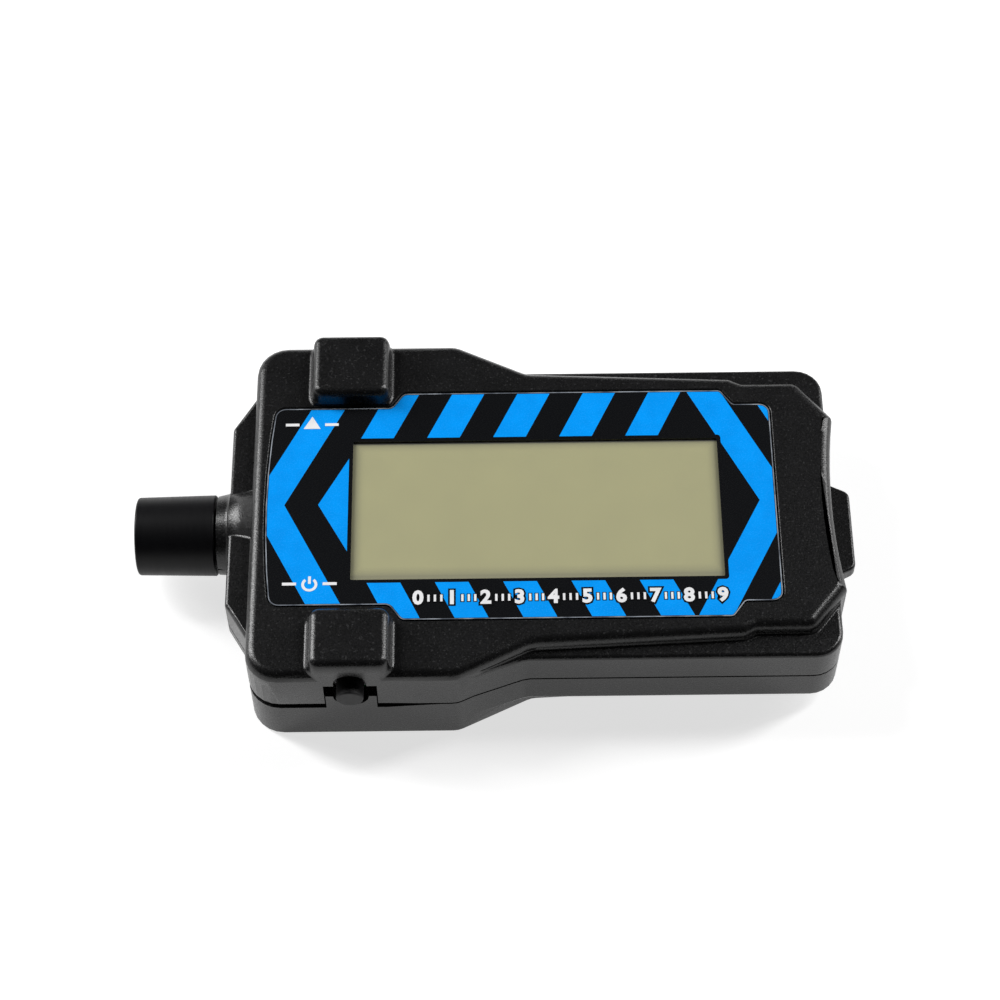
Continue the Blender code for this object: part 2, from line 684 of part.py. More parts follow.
def pad_outline(side, spread, outer_inset):
    """Plan outline of a pad, spread on the three sides that stand on the case's top."""
    left = button_x(side) - PAD_WIDTH / 2 - spread
    right = button_x(side) + PAD_WIDTH / 2 + spread
    inner = (SET_PAD_INNER if side > 0 else POWER_PAD_INNER) - spread
    edges = sorted((side * inner, side * (CASE_HALF_WIDTH - outer_inset)))
    return box_outline(left, right, *edges, max(PAD_CORNER + spread, PAD_CORNER_LEAST))


def add_pad(shape, side):
    """A pad with a fillet round its foot, a little draft and a rounded rim."""
    top = TOP + PAD_RISE
    levels = [(pad_outline(side, 0.0, 0.0), TOP - RIM_ROUND - ROOT),
              (pad_outline(side, PAD_FOOT, 0.0), TOP - LAP)]
    for come, risen in quarter()[1:]:
        levels.append((pad_outline(side, PAD_FOOT * (1.0 - risen), 0.0), TOP + PAD_FOOT * come))
    for come, risen in quarter():
        inward = PAD_DRAFT + PAD_ROUND * come
        levels.append((pad_outline(side, -inward, inward), top - PAD_ROUND * (1.0 - risen)))
    add_stack(shape, [(rounded(outline), height) for outline, height in levels])


def label_corners():
    """The label's outline: bowed left end, sides stepped past the pads, and a cropped right end."""
    half = [
        (LABEL_LEFT + LABEL_BOW, LABEL_STEP_HALF_WIDTH, LABEL_LEFT_ROUND),
        (LABEL_STEP_LEFT - LABEL_STEP_SLANT, LABEL_STEP_HALF_WIDTH, LABEL_STEP_ROUND),
        (LABEL_STEP_LEFT + LABEL_STEP_SLANT, LABEL_HALF_WIDTH, LABEL_STEP_ROUND),
        (LABEL_STEP_RIGHT - LABEL_STEP_SLANT, LABEL_HALF_WIDTH, LABEL_CROP_ROUND),
        (LABEL_STEP_RIGHT + LABEL_STEP_SLANT, LABEL_STEP_HALF_WIDTH, LABEL_CROP_ROUND),
        (LABEL_RIGHT, LABEL_STEP_HALF_WIDTH, LABEL_RIGHT_ROUND),
    ]
    outline = mirrored(half)
    bowed = []
    steps = 6
    for step in range(1, steps):
        share = 1.0 - 2.0 * step / steps
        bowed.append((LABEL_LEFT + LABEL_BOW * share ** 2, LABEL_STEP_HALF_WIDTH * share, 0.0))
    return outline + bowed


def centred(length, width, corner=0.0):
    """A rectangle round the middle of the display."""
    return box_outline(WINDOW_CENTRE_X - length / 2, WINDOW_CENTRE_X + length / 2,
                       WINDOW_CENTRE_Y - width / 2, WINDOW_CENTRE_Y + width / 2, corner)


def window_box(grow):
    return centred(WINDOW_LENGTH + 2 * grow, WINDOW_WIDTH + 2 * grow, WINDOW_ROUND + grow / 2)


LABEL_TOP = TOP - LABEL_SUNK
LABEL_UNDERSIDE = LABEL_TOP - LABEL_THICKNESS
RECESS_FLOOR = LABEL_UNDERSIDE - CLOSE_GAP
PANE_SEAT = RECESS_FLOOR - PANE_THICKNESS - CLOSE_GAP
ROOF_UNDERSIDE = TOP - ROOF


def upper_shell():
    shell = finish(prism(RAISED, -PAST, TOP, round_high=RIM_ROUND), "upper_shell", GRAINED_PLASTIC)
    add(shell, prism(LEDGE, -PAST, LEDGE_HEIGHT, round_high=LEDGE_ROUND), "upper ledge")
    add(shell, prism(NOSE, -PAST, NOSE_TOP, round_high=NOSE_ROUND), "upper nose")
    add(shell, neck(UPPER_NECK_FLARE), "upper neck")
    boolean(shell, "UNION", step_foot())
    pads = bmesh.new()
    for side in (-1, 1):
        add_pad(pads, side)
    add(shell, pads, "button pads")
    cut(shell, prism(box_outline(-FAR, FAR, -FAR, FAR), -FAR, HALF_GAP), "below the parting plane")

    cut(shell, prism(inset(RAISED, WALL), -PAST, ROOF_UNDERSIDE, arc_steps=HIDDEN_STEPS), "upper room")
    ledge_room = prism(inset(LEDGE, WALL), -PAST, LEDGE_HEIGHT - ROOF, arc_steps=HIDDEN_STEPS)
    cut(shell, ledge_room, "upper ledge room")
    pad_room = bmesh.new()
    for side in (-1, 1):
        outline = pad_outline(side, -PAD_WALL, PAD_WALL)
        add_prism(pad_room, outline, PAST, TOP + PAD_RISE - PAD_WALL, arc_steps=HIDDEN_STEPS)
    cut(shell, pad_room, "pad rooms")

    add(shell, rods(CASE_SCREWS, CASE_BOSS, HALF_GAP, ROOF_UNDERSIDE + ROOT), "upper screw bosses")
    add(shell, rods(BOARD_SCREWS, BOARD_POST, BOARD_TOP + SEAT_GAP, ROOF_UNDERSIDE + ROOT), "board posts")
    boolean(shell, "DIFFERENCE", wide_joint("upper joint"))
    boolean(shell, "UNION", tongue())

    cut(shell, label_recess(), "label recess")
    cut(shell, prism(window_box(PANE_LIP), PANE_SEAT, TOP + PAST), "pane seat")
    cut(shell, prism(window_box(WINDOW_FRAME), ROOF_UNDERSIDE - PAST, TOP + PAST), "window opening")
    slots = bmesh.new()
    slot = slot_outline(NOTCH_HALF_WIDTH, SLOT_RADIUS, SLOT_RISE)
    for side in (-1, 1):
        add_wall_prism(slots, slot, side, -PAST, WALL + ROOT)
    cut(shell, slots, "button slots")
    cut(shell, hood_socket(), "upper hood socket")
    pilots = rods(CASE_SCREWS, CASE_SCREW + CLOSE_GAP, -PAST, CASE_SCREW_BITE + 2 * SEAT_GAP, SCREW_SIDES)
    cut(shell, pilots, "case screw pilots")
    post_depth = BOARD_TOP + BOARD_SCREW_BITE + SEAT_GAP
    pilots = rods(BOARD_SCREWS, BOARD_SCREW + CLOSE_GAP, 0.0, post_depth, SCREW_SIDES)
    cut(shell, pilots, "board screw pilots")
    return shell


def step_foot():
    """The fillet where the raised part stands on the ledge."""
    levels = [(inset(RAISED, -STEP_FOOT), LEDGE_HEIGHT - LAP)]
    for come, risen in quarter()[1:-1]:
        levels.append((inset(RAISED, -STEP_FOOT * (1.0 - risen)), LEDGE_HEIGHT + STEP_FOOT * come))
    levels.append((inset(RAISED, -LAP), LEDGE_HEIGHT + STEP_FOOT))
    shape = bmesh.new()
    add_stack(shape, [(rounded(outline), height) for outline, height in levels])
    foot = tool(shape, "step foot")
    boolean(foot, "INTERSECT", tool(prism(inset(LEDGE, CLOSE_GAP), 0.0, TOP), "edge of the step foot"))
    return foot


def label_recess():
    """The cutter of the label's recess, flared at the top so that the recess has a soft edge."""
    outline = inset(label_corners(), -LABEL_MARGIN)
    levels = [(outline, RECESS_FLOOR)]
    for come, risen in quarter():
        grown = inset(label_corners(), -LABEL_MARGIN - RECESS_ROUND * come)
        levels.append((grown, TOP + LAP - RECESS_ROUND * (1.0 - risen)))
    levels.append((inset(label_corners(), -LABEL_MARGIN - RECESS_ROUND), TOP + PAST))
    shape = bmesh.new()
    add_stack(shape, [(rounded(corners), height) for corners, height in levels])
    return shape


def wide_joint(name):
    """The cutter that widens the joint's outer edge round the wide end, but not at the nose."""
    low = -HALF_GAP - JOINT_BELOW
    high = HALF_GAP + JOINT_ABOVE
    profile = [(-FAR, low), (JOINT_FADE_START, low), (JOINT_FADE_END, 0.0), (JOINT_FADE_START, high),
               (-FAR, high)]
    shape = bmesh.new()
    add_cross_prism(shape, profile, -FAR, FAR)
    joint = tool(shape, name)
    cut(joint, prism(inset(CASE, JOINT_DEPTH), -PAST, PAST), name + " inside")
    half = NOSE_ROOT_HALF_WIDTH + JOINT_NOSE_MARGIN
    nose = box_outline(-FAR * 2, CASE_LEFT + WALL, -half, half)
    cut(joint, prism(nose, -PAST, PAST), name + " at the nose")
    return joint


def tongue():
    """A ring inside the wall that stands across the parting plane and closes it to light."""
    outer = prism(inset(CASE, WALL - TONGUE_WIDTH), -TONGUE_DEPTH, TONGUE_RISE, arc_steps=HIDDEN_STEPS)
    ring = tool(outer, "tongue")
    inside = prism(inset(CASE, WALL + 2 * CLOSE_GAP), -FAR, FAR, arc_steps=HIDDEN_STEPS)
    cut(ring, inside, "inside of the tongue")
    return ring


def tongue_groove():
    """The step in the lower shell's rim that the tongue enters."""
    outline = inset(CASE, WALL - TONGUE_WIDTH - SEAT_GAP)
    ring = tool(prism(outline, -TONGUE_DEPTH - SEAT_GAP, PAST, arc_steps=HIDDEN_STEPS), "tongue groove")
    cut(ring, prism(inset(CASE, WALL + SEAT_GAP), -FAR, FAR, arc_steps=HIDDEN_STEPS), "inside of the groove")
    return ring


CELL_TOP = BOARD_BOTTOM - CLOSE_GAP - HOLDER_BASE - CLOSE_GAP - CONTACT_THICKNESS - CLOSE_GAP
CELL_BOTTOM = CELL_TOP - CELL_THICKNESS
FLOOR = -BOTTOM + ROOF
DOOR_TOP = -BOTTOM + DOOR_THICKNESS
DOOR_LIP_TOP = -BOTTOM + DOOR_LIP
TONGUE_LOW = DOOR_TOP - DOOR_TONGUE_THICKNESS / 2
TONGUE_HIGH = TONGUE_LOW + DOOR_TONGUE_THICKNESS
RIB_TOP = CELL_BOTTOM - SEAT_GAP
DOOR_WAY_TOP = max(DOOR_LIP_TOP, RIB_TOP) + DOOR_PLAY
DOOR_OPENING = DOOR_HALF_WIDTH + DOOR_PLAY
RUNWAY = DOOR_HALF_WIDTH + DOOR_TONGUE + DOOR_PLAY


def lower_shell():
    shell = finish(prism(RAISED, -BOTTOM, PAST, round_low=BASE_ROUND), "lower_shell", GRAINED_PLASTIC)
    add(shell, prism(LEDGE, -LEDGE_HEIGHT, PAST, round_low=LEDGE_ROUND), "lower ledge")
    add(shell, prism(NOSE, -NOSE_BOTTOM, PAST, round_low=NOSE_ROUND), "lower nose")
    tab_bottom = TAB_TOP - TAB_THICKNESS
    add(shell, prism(TAB, tab_bottom, TAB_TOP, round_low=TAB_ROUND, round_high=TAB_ROUND), "end tab")
    add(shell, neck(LOWER_NECK_FLARE), "lower neck")
    cut(shell, prism(box_outline(-FAR, FAR, -FAR, FAR), -HALF_GAP, FAR), "above the parting plane")

    cut(shell, prism(inset(RAISED, WALL), FLOOR, PAST, arc_steps=HIDDEN_STEPS), "lower room")
    ledge_room = prism(inset(LEDGE, WALL), -LEDGE_HEIGHT + ROOF, PAST, arc_steps=HIDDEN_STEPS)
    cut(shell, ledge_room, "lower ledge room")
    add(shell, rods(CASE_SCREWS, CASE_BOSS, FLOOR - ROOT, -HALF_GAP), "lower screw bosses")
    boolean(shell, "DIFFERENCE", tongue_groove())
    boolean(shell, "DIFFERENCE", wide_joint("lower joint"))
    add(shell, seat_tabs(), "button seat tabs")
    cut_door_way(shell)

    cut(shell, hood_socket(), "lower hood socket")
    head_room = CASE_SCREW_HEAD + SCREW_CLEARANCE
    cut(shell, rods(CASE_SCREWS, head_room, -BOTTOM - PAST, -BOTTOM + CASE_SCREW_SINK), "screw head wells")
    shank_room = CASE_SCREW + SCREW_CLEARANCE
    cut(shell, rods(CASE_SCREWS, shank_room, -BOTTOM, PAST, SCREW_SIDES), "screw shank holes")
    return shell


def cut_door_way(shell):
    """Rails inside the floor, and the opening and grooves that the battery door slides out of."""
    rails = bmesh.new()
    rail_right = DOOR_RIGHT + DOOR_TONGUE + DOOR_PLAY + RAIL_WIDTH
    for side in (-1, 1):
        edges = sorted((side * DOOR_OPENING, side * (RUNWAY + RAIL_WIDTH)))
        outline = box_outline(CASE_LEFT + WALL / 2, rail_right, *edges)
        add_prism(rails, outline, FLOOR - ROOT, TONGUE_HIGH + DOOR_PLAY + RAIL_THICKNESS)
    add(shell, rails, "door rails")
    opening = box_outline(-FAR, DOOR_RIGHT + DOOR_PLAY, -DOOR_OPENING, DOOR_OPENING)
    cut(shell, prism(opening, -BOTTOM - PAST, DOOR_WAY_TOP), "door opening")
    runway = box_outline(-FAR, DOOR_RIGHT + DOOR_TONGUE + DOOR_PLAY, -RUNWAY, RUNWAY)
    cut(shell, prism(runway, TONGUE_LOW - DOOR_PLAY, TONGUE_HIGH + DOOR_PLAY), "door runway")


def seat_tabs():
    """Tabs of the lower rim that close the foot of each button's notch, with a round dip."""
    half = NOTCH_HALF_WIDTH - SEAT_TAB_PLAY
    outline = [(-half, -SEAT_TAB_ROOT), (half, -SEAT_TAB_ROOT), (half, SEAT_TAB_TOP)]
    steps = 8
    for step in range(steps + 1):
        angle = -math.pi * step / steps
        outline.append((SEAT_TAB_DIP * math.cos(angle), SEAT_TAB_TOP + SEAT_TAB_DIP * math.sin(angle)))
    outline.append((-half, SEAT_TAB_TOP))
    shape = bmesh.new()
    for side in (-1, 1):
        add_wall_prism(shape, outline, side, 0.0, WALL)
    return shape


def battery_door():
    """The sliding cover: a piece of the case's own skin, with tongues that run in the shell."""
    door = finish(prism(RAISED, -BOTTOM, DOOR_LIP_TOP, round_low=BASE_ROUND), "battery_door", GRAINED_PLASTIC)
    blank = prism(box_outline(-FAR, DOOR_RIGHT, -DOOR_HALF_WIDTH, DOOR_HALF_WIDTH), -FAR, FAR)
    boolean(door, "INTERSECT", tool(blank, "door blank"))
    hollow = box_outline(CASE_LEFT + WALL, FAR, -FAR, FAR)
    cut(door, prism(hollow, DOOR_TOP, FAR), "behind the door's end wall")
    reach = DOOR_HALF_WIDTH + DOOR_TONGUE
    tongues = box_outline(CASE_LEFT, DOOR_RIGHT + DOOR_TONGUE, -reach, reach)
    add(door, prism(tongues, TONGUE_LOW, TONGUE_HIGH), "door tongues")

    ribs = bmesh.new()
    for side in (-1, 1):
        edges = sorted((side * RIB_Y, side * (RIB_Y + RIB_WIDTH)))
        outline = box_outline(CELL_X - CELL_RADIUS * 0.8, CELL_X + CELL_RADIUS * 0.8, *edges)
        add_prism(ribs, outline, DOOR_TOP - ROOT, RIB_TOP)
    add(door, ribs, "ribs under the cell")
    grips = bmesh.new()
    for index in range(GRIP_COUNT):
        left = GRIP_START + index * GRIP_PITCH
        outline = box_outline(left, left + GRIP_WIDTH, -GRIP_HALF_LENGTH, GRIP_HALF_LENGTH)
        add_prism(grips, outline, -BOTTOM - PAST, -BOTTOM + GRIP_DEPTH)
    cut(door, grips, "door grips")
    return door


def sensor_hood():
    """A turned tube: open mouth, bore, throat for the sensor, and a spigot with its collar."""
    seam = NECK_END - SEAT_GAP
    mouth = HOOD_RADIUS - HOOD_TAPER
    lip = HOOD_LIP
    profile = [
        (HOOD_END, HOOD_BORE + lip), (HOOD_END, mouth - lip), (HOOD_END + lip / 3, mouth - lip / 3),
        (HOOD_END + lip, mouth), (seam - lip / 2, HOOD_RADIUS), (seam, HOOD_RADIUS - lip / 2),
        (seam, SPIGOT_RADIUS), (SPIGOT_END - COLLAR_WIDTH, SPIGOT_RADIUS),
        (SPIGOT_END - COLLAR_WIDTH, COLLAR_RADIUS), (SPIGOT_END, COLLAR_RADIUS),
        (SPIGOT_END, HOOD_THROAT), (HOOD_STEP, HOOD_THROAT), (HOOD_STEP, HOOD_BORE),
        (HOOD_END + lip, HOOD_BORE),
    ]
    shape = bmesh.new()
    add_lathe(shape, profile, closed=True)
    return finish(shape, "sensor_hood", SATIN_PLASTIC)


def sensor_lens():
    back = HOOD_STEP - CLOSE_GAP
    edge = back - LENS_THICKNESS
    radius = HOOD_BORE - CLOSE_GAP
    profile = []
    steps = 6
    for step in range(steps + 1):
        share = step / steps
        profile.append((edge - LENS_CROWN * (1.0 - share ** 2), radius * share))
    profile += [(back, radius), (back, 0.0)]
    shape = bmesh.new()
    add_lathe(shape, profile, segments=32)
    return finish(shape, "sensor_lens", SENSOR_RESIN)


SENSOR_FRONT = HOOD_STEP + SENSOR_SETBACK
SENSOR_BACK = SENSOR_FRONT + SENSOR_LENGTH


def photo_sensor():
    """A round light sensor with a domed front and a flange at its base."""
    profile = []
    steps = 5
    for step in range(steps + 1):
        angle = math.pi / 2 * step / steps
        depth = SENSOR_RADIUS * (1.0 - math.cos(angle))
        profile.append((SENSOR_FRONT + depth, SENSOR_RADIUS * math.sin(angle)))
    rim = SENSOR_RADIUS + SENSOR_FLANGE
    flange = SENSOR_BACK - SENSOR_FLANGE_THICKNESS
    profile += [(flange, SENSOR_RADIUS), (flange, rim), (SENSOR_BACK, rim), (SENSOR_BACK, 0.0)]
    shape = bmesh.new()
    add_lathe(shape, profile, segments=24)
    return finish(shape, "photo_sensor", SENSOR_RESIN)


def sensor_lead(name, side):
    """A bent wire from the back of the sensor to the top of the board."""
    rest = BOARD_TOP + CLOSE_GAP + LEAD_RADIUS
    y = side * LEAD_SPACING / 2
    route = [(SENSOR_BACK + CLOSE_GAP, 0.0)]
    steps = 5
    for step in range(steps + 1):
        share = step / steps
        ease = share * share * (3.0 - 2.0 * share)
        route.append((BOARD_LEFT - CLOSE_GAP - LEAD_BEND * (1.0 - share), rest * ease))
    route.append((BOARD_LEFT + LEAD_FOOT, rest))
    curve = bpy.data.curves.new(name, "CURVE")
    curve.dimensions = "3D"
    spline = curve.splines.new("POLY")
    spline.points.add(len(route) - 1)
    for point, (x, z) in zip(spline.points, route):
        point.co = (x, y, z, 1.0)
    curve.bevel_depth = LEAD_RADIUS
    curve.bevel_resolution = 2
    curve.use_fill_caps = True
    curve.materials.append(TINNED_WIRE)
    lead = bpy.data.objects.new(name, curve)
    bpy.context.scene.collection.objects.link(lead)
    lead.parent = base
    return lead


def add_v_band(shape, tip, side):
    """A V-shaped band whose inner edges meet at the tip, open to the right where side is positive."""
    half = LABEL_HALF_WIDTH + PAST
    inner = tip
    outer = tip - side * CHEVRON_WIDTH
    run = side * CHEVRON_LEAN * half
    corners = [(outer, 0.0, 0.0), (outer + run, -half, 0.0), (inner + run, -half, 0.0), (inner, 0.0, 0.0),
               (inner + run, half, 0.0), (outer + run, half, 0.0)]
    add_prism(shape, corners, LABEL_UNDERSIDE + LABEL_THICKNESS / 2, LABEL_TOP + INK)


def label_overlay():
    """The printed film. Its blue print stands a hair's breadth above the black film."""
    label = finish(prism(label_corners(), LABEL_UNDERSIDE, LABEL_TOP), "label_overlay", LABEL_FILM)
    cut(label, prism(window_box(0.0), ROOF_UNDERSIDE, TOP + PAST), "label window")

    low = LABEL_UNDERSIDE + LABEL_THICKNESS / 2
    high = LABEL_TOP + INK
    print_shape = bmesh.new()
    add_v_band(print_shape, LEFT_CHEVRON_TIP, 1)
    add_v_band(print_shape, RIGHT_CHEVRON_TIP, -1)
    add_v_band(print_shape, CORNER_BAND_TIP, -1)
    arrow_half = (WINDOW_LEFT - ARROW_TIP) / ARROW_LEAN
    add_prism(print_shape, [(ARROW_TIP, 0.0, 0.0), (WINDOW_LEFT, -arrow_half, 0.0),
                            (WINDOW_LEFT, arrow_half, 0.0)], low, high)
    for side, start in ((1, REAR_BAND_START), (-1, FRONT_BAND_START)):
        near = WINDOW_CENTRE_Y + side * (WINDOW_WIDTH / 2 + WINDOW_FRAME / 2)
        far = side * (LABEL_HALF_WIDTH + PAST)
        run = BAND_LEAN * abs(far - near)
        for index in range(BAND_COUNT):
            x = start + index * BAND_PITCH
            corners = [(x, near, 0.0), (x + BAND_WIDTH, near, 0.0), (x + BAND_WIDTH + run, far, 0.0),
                       (x + run, far, 0.0)]
            if side < 0:
                corners.reverse()
            add_prism(print_shape, corners, low, high)
    ink = tool(print_shape, "blue print")
    ink.data.materials.append(LABEL_INK)
    edge = prism(inset(label_corners(), INK_MARGIN), ROOF_UNDERSIDE, TOP + PAST)
    boolean(ink, "INTERSECT", tool(edge, "print edge"))
    cut(ink, prism(window_box(WINDOW_FRAME), ROOF_UNDERSIDE, TOP + PAST), "print frame")
    boolean(label, "UNION", ink)
    return label


def display_window():
    return finish(prism(window_box(PANE_LIP - CLOSE_GAP), PANE_SEAT + CLOSE_GAP, RECESS_FLOOR),
                  "display_window", CLEAR_PANE)


FRONT_GLASS_TOP = ROOF_UNDERSIDE - SEAT_GAP
REAR_GLASS_TOP = FRONT_GLASS_TOP - GLASS_THICKNESS - CLOSE_GAP
REFLECTOR_TOP = REAR_GLASS_TOP - GLASS_THICKNESS - CLOSE_GAP


def display():
    """The cell of two glass plates with its reflector, the frame round it and its contact strips."""
    narrow = GLASS_WIDTH - 2 * GLASS_STEP
    finish(prism(centred(GLASS_LENGTH, GLASS_WIDTH), FRONT_GLASS_TOP - GLASS_THICKNESS, FRONT_GLASS_TOP),
           "lcd_front_glass", DISPLAY_GLASS)
    finish(prism(centred(GLASS_LENGTH, narrow), REAR_GLASS_TOP - GLASS_THICKNESS, REAR_GLASS_TOP),
           "lcd_rear_glass", DISPLAY_GLASS)
    low = REFLECTOR_TOP - REFLECTOR_THICKNESS
    finish(prism(centred(GLASS_LENGTH, narrow), low, REFLECTOR_TOP), "lcd_reflector", REFLECTOR)
    frame_length = GLASS_LENGTH + 2 * (FRAME_WALL + CLOSE_GAP)
    frame_width = GLASS_WIDTH + 2 * (FRAME_WALL + CLOSE_GAP)
    outline = centred(frame_length, frame_width, FRAME_CORNER)
    frame = finish(prism(outline, BOARD_TOP + CLOSE_GAP, FRONT_GLASS_TOP), "lcd_frame", FRAME_PLASTIC)
    play = 2 * CLOSE_GAP
    cut(frame, prism(centred(GLASS_LENGTH + play, GLASS_WIDTH + play), low - CLOSE_GAP, TOP), "glass seat")
    cut(frame, prism(centred(GLASS_LENGTH - 2 * FRAME_REST, GLASS_WIDTH + play), 0.0, TOP), "frame opening")
    strip_half = GLASS_LENGTH / 2 - FRAME_REST - STRIP_END_GAP
    for name, side in (("contact_strip_rear", 1), ("contact_strip_front", -1)):
        middle = WINDOW_CENTRE_Y + side * (GLASS_WIDTH / 2 - GLASS_STEP / 2)
        outline = box_outline(WINDOW_CENTRE_X - strip_half, WINDOW_CENTRE_X + strip_half,
                              middle - STRIP_WIDTH / 2, middle + STRIP_WIDTH / 2)
        finish(prism(outline, BOARD_TOP + CLOSE_GAP, FRONT_GLASS_TOP - GLASS_THICKNESS - CLOSE_GAP),
               name, STRIP_RUBBER)


def main_board():
    wide = CASE_HALF_WIDTH - WALL - CLOSE_GAP - BOARD_MARGIN
    half = [
        (BOARD_LEFT, BOARD_LEFT_HALF_WIDTH),
        (BOARD_WIDE_START, BOARD_LEFT_HALF_WIDTH),
        (BOARD_WIDE_START, wide),
        (BOARD_WIDE_END, wide),
        (BOARD_WAIST_START, BOARD_WAIST_HALF_WIDTH),
        (BOARD_END_START, BOARD_WAIST_HALF_WIDTH),
        (BOARD_END_START, BOARD_END_HALF_WIDTH),
        (BOARD_RIGHT, BOARD_END_HALF_WIDTH),
    ]
    outline = mirrored([(x, y, BOARD_ROUND) for x, y in half])
    board = finish(prism(outline, BOARD_BOTTOM, BOARD_TOP, arc_steps=HIDDEN_STEPS), "main_board",
                   BOARD_LAMINATE)
    radius = BOARD_SCREW + SCREW_CLEARANCE
    holes = rods(BOARD_SCREWS, radius, BOARD_BOTTOM - PAST, BOARD_TOP + PAST, SCREW_SIDES)
    cut(board, holes, "board screw holes")
    return board


def on_board(place, below):
    """The low and high faces of a component that sits on one side of the board."""
    if below:
        high = BOARD_BOTTOM - CLOSE_GAP
        return high - place[4], high
    low = BOARD_TOP + CLOSE_GAP
    return low, low + place[4]


def block_component(name, place, finish_material, below, corner):
    x, y, length, width, _ = place
    outline = box_outline(x - length / 2, x + length / 2, y - width / 2, y + width / 2, corner)
    low, high = on_board(place, below)
    rims = {"round_low": CHIP_ROUND} if below else {"round_high": CHIP_ROUND}
    return finish(prism(outline, low, high, **rims), name, finish_material)


def capacitor():
    low, high = on_board(CAPACITOR, True)
    radius = CAPACITOR[2] / 2
    lip = CAPACITOR_GROOVE
    shape = bmesh.new()
    add_lathe(shape, [(low, 0.0), (low, radius - lip), (low + lip, radius), (high - 4 * lip, radius),
                      (high - 3 * lip, radius - lip), (high - 2 * lip, radius), (high, radius), (high, 0.0)],
              segments=24, upright=True)
    return finish(shape, "capacitor", CAPACITOR_SLEEVE, location=(CAPACITOR[0], CAPACITOR[1], 0.0))


def switch(prefix, side):
    """A board switch behind a side wall, with its steel cover, and the button it carries.

    Sizes run inwards along +Y from the wall's outer face, on the button's axis. The rear one is turned.
    """
    turned = 0.0 if side < 0 else math.pi
    place = (button_x(side), side * CASE_HALF_WIDTH, BUTTON_HEIGHT)
    face = WALL + SEAT_GAP
    foot = BOARD_TOP + CLOSE_GAP - BUTTON_HEIGHT
    half = SWITCH_WIDTH / 2
    flange_radius = BUTTON_RADIUS + BUTTON_FLANGE

    body_front = face + SWITCH_COVER + CLOSE_GAP
    footprint = box_outline(-half, half, body_front, body_front + SWITCH_DEPTH, COVER_ROUND)
    block = prism(footprint, foot, half, arc_steps=HIDDEN_STEPS)
    body = finish(block, prefix + "_switch_body", CHIP_RESIN, place)
    pocket = bmesh.new()
    add_rod(pocket, (0, 0, 0), "Y", flange_radius + CLOSE_GAP, body_front - PAST, body_front + SWITCH_POCKET)
    cut(body, pocket, prefix + " switch pocket")

    inner = half + CLOSE_GAP
    outer = inner + SWITCH_COVER
    back = face + SWITCH_DEPTH
    channel = [(-outer, face, COVER_ROUND), (outer, face, COVER_ROUND), (outer, back, 0.0),
               (inner, back, 0.0), (inner, face + SWITCH_COVER, 0.0), (-inner, face + SWITCH_COVER, 0.0),
               (-inner, back, 0.0), (-outer, back, 0.0)]
    plate = prism(channel, foot, half - CLOSE_GAP, arc_steps=HIDDEN_STEPS)
    cover = finish(plate, prefix + "_switch_cover", STEEL, place)
    hole = bmesh.new()
    add_rod(hole, (0, 0, 0), "Y", BUTTON_RADIUS + CLOSE_GAP, face - PAST, face + SWITCH_COVER + PAST)
    cut(cover, hole, prefix + " cover hole")

    rear_of_cover = face + SWITCH_COVER + CLOSE_GAP
    tip = BUTTON_TIP_ROUND
    profile = [(-BUTTON_REACH, 0.0), (-BUTTON_REACH, BUTTON_RADIUS - tip),
               (-BUTTON_REACH + tip / 3, BUTTON_RADIUS - tip / 3), (-BUTTON_REACH + tip, BUTTON_RADIUS),
               (rear_of_cover, BUTTON_RADIUS), (rear_of_cover, flange_radius),
               (rear_of_cover + BUTTON_FLANGE, flange_radius), (rear_of_cover + BUTTON_FLANGE, 0.0)]
    shape = bmesh.new()
    add_lathe(shape, profile, segments=32)
    bmesh.ops.rotate(shape, verts=shape.verts, cent=(0, 0, 0), matrix=Matrix.Rotation(math.pi / 2, 3, "Z"))
    button = finish(shape, prefix + "_button", BUTTON_PLASTIC, place)
    for piece in (body, cover, button):
        piece.rotation_euler.z = turned
    for change in list(body.modifiers) + list(cover.modifiers):
        change.object.location = place
        change.object.rotation_euler.z = turned


def battery_holder():
    """A cup under the board, open downwards, with a notch for the edge clip."""
    top = BOARD_BOTTOM - CLOSE_GAP
    ceiling = top - HOLDER_BASE
    cup = bmesh.new()
    add_lathe(cup, [(top, 0.0), (top, HOLDER_RADIUS), (CELL_BOTTOM, HOLDER_RADIUS),
                    (CELL_BOTTOM, HOLDER_BORE), (ceiling, HOLDER_BORE), (ceiling, 0.0)],
              segments=40, upright=True)
    holder = finish(cup, "battery_holder", CHIP_RESIN, location=(CELL_X, 0.0, 0.0))
    half = CONTACT_HALF_WIDTH + SEAT_GAP
    notch = box_outline(CELL_X + CELL_RADIUS - HOLDER_WALL, CELL_X + HOLDER_RADIUS + PAST, -half, half)
    cut(holder, prism(notch, CELL_BOTTOM - PAST, top + PAST), "clip notch")


def coin_cell():
    rim = CELL_RIM
    step = CELL_TOP - CELL_STEP
    inner = CELL_RADIUS - CELL_SHOULDER
    shape = bmesh.new()
    add_lathe(shape, [(CELL_BOTTOM, 0.0), (CELL_BOTTOM, CELL_RADIUS - rim), (CELL_BOTTOM + rim, CELL_RADIUS),
                      (step, CELL_RADIUS), (step + rim, CELL_RADIUS - rim), (step + rim, inner),
                      (CELL_TOP, inner - rim), (CELL_TOP, 0.0)], segments=40, upright=True)
    finish(shape, "coin_cell", STEEL, location=(CELL_X, 0.0, 0.0))


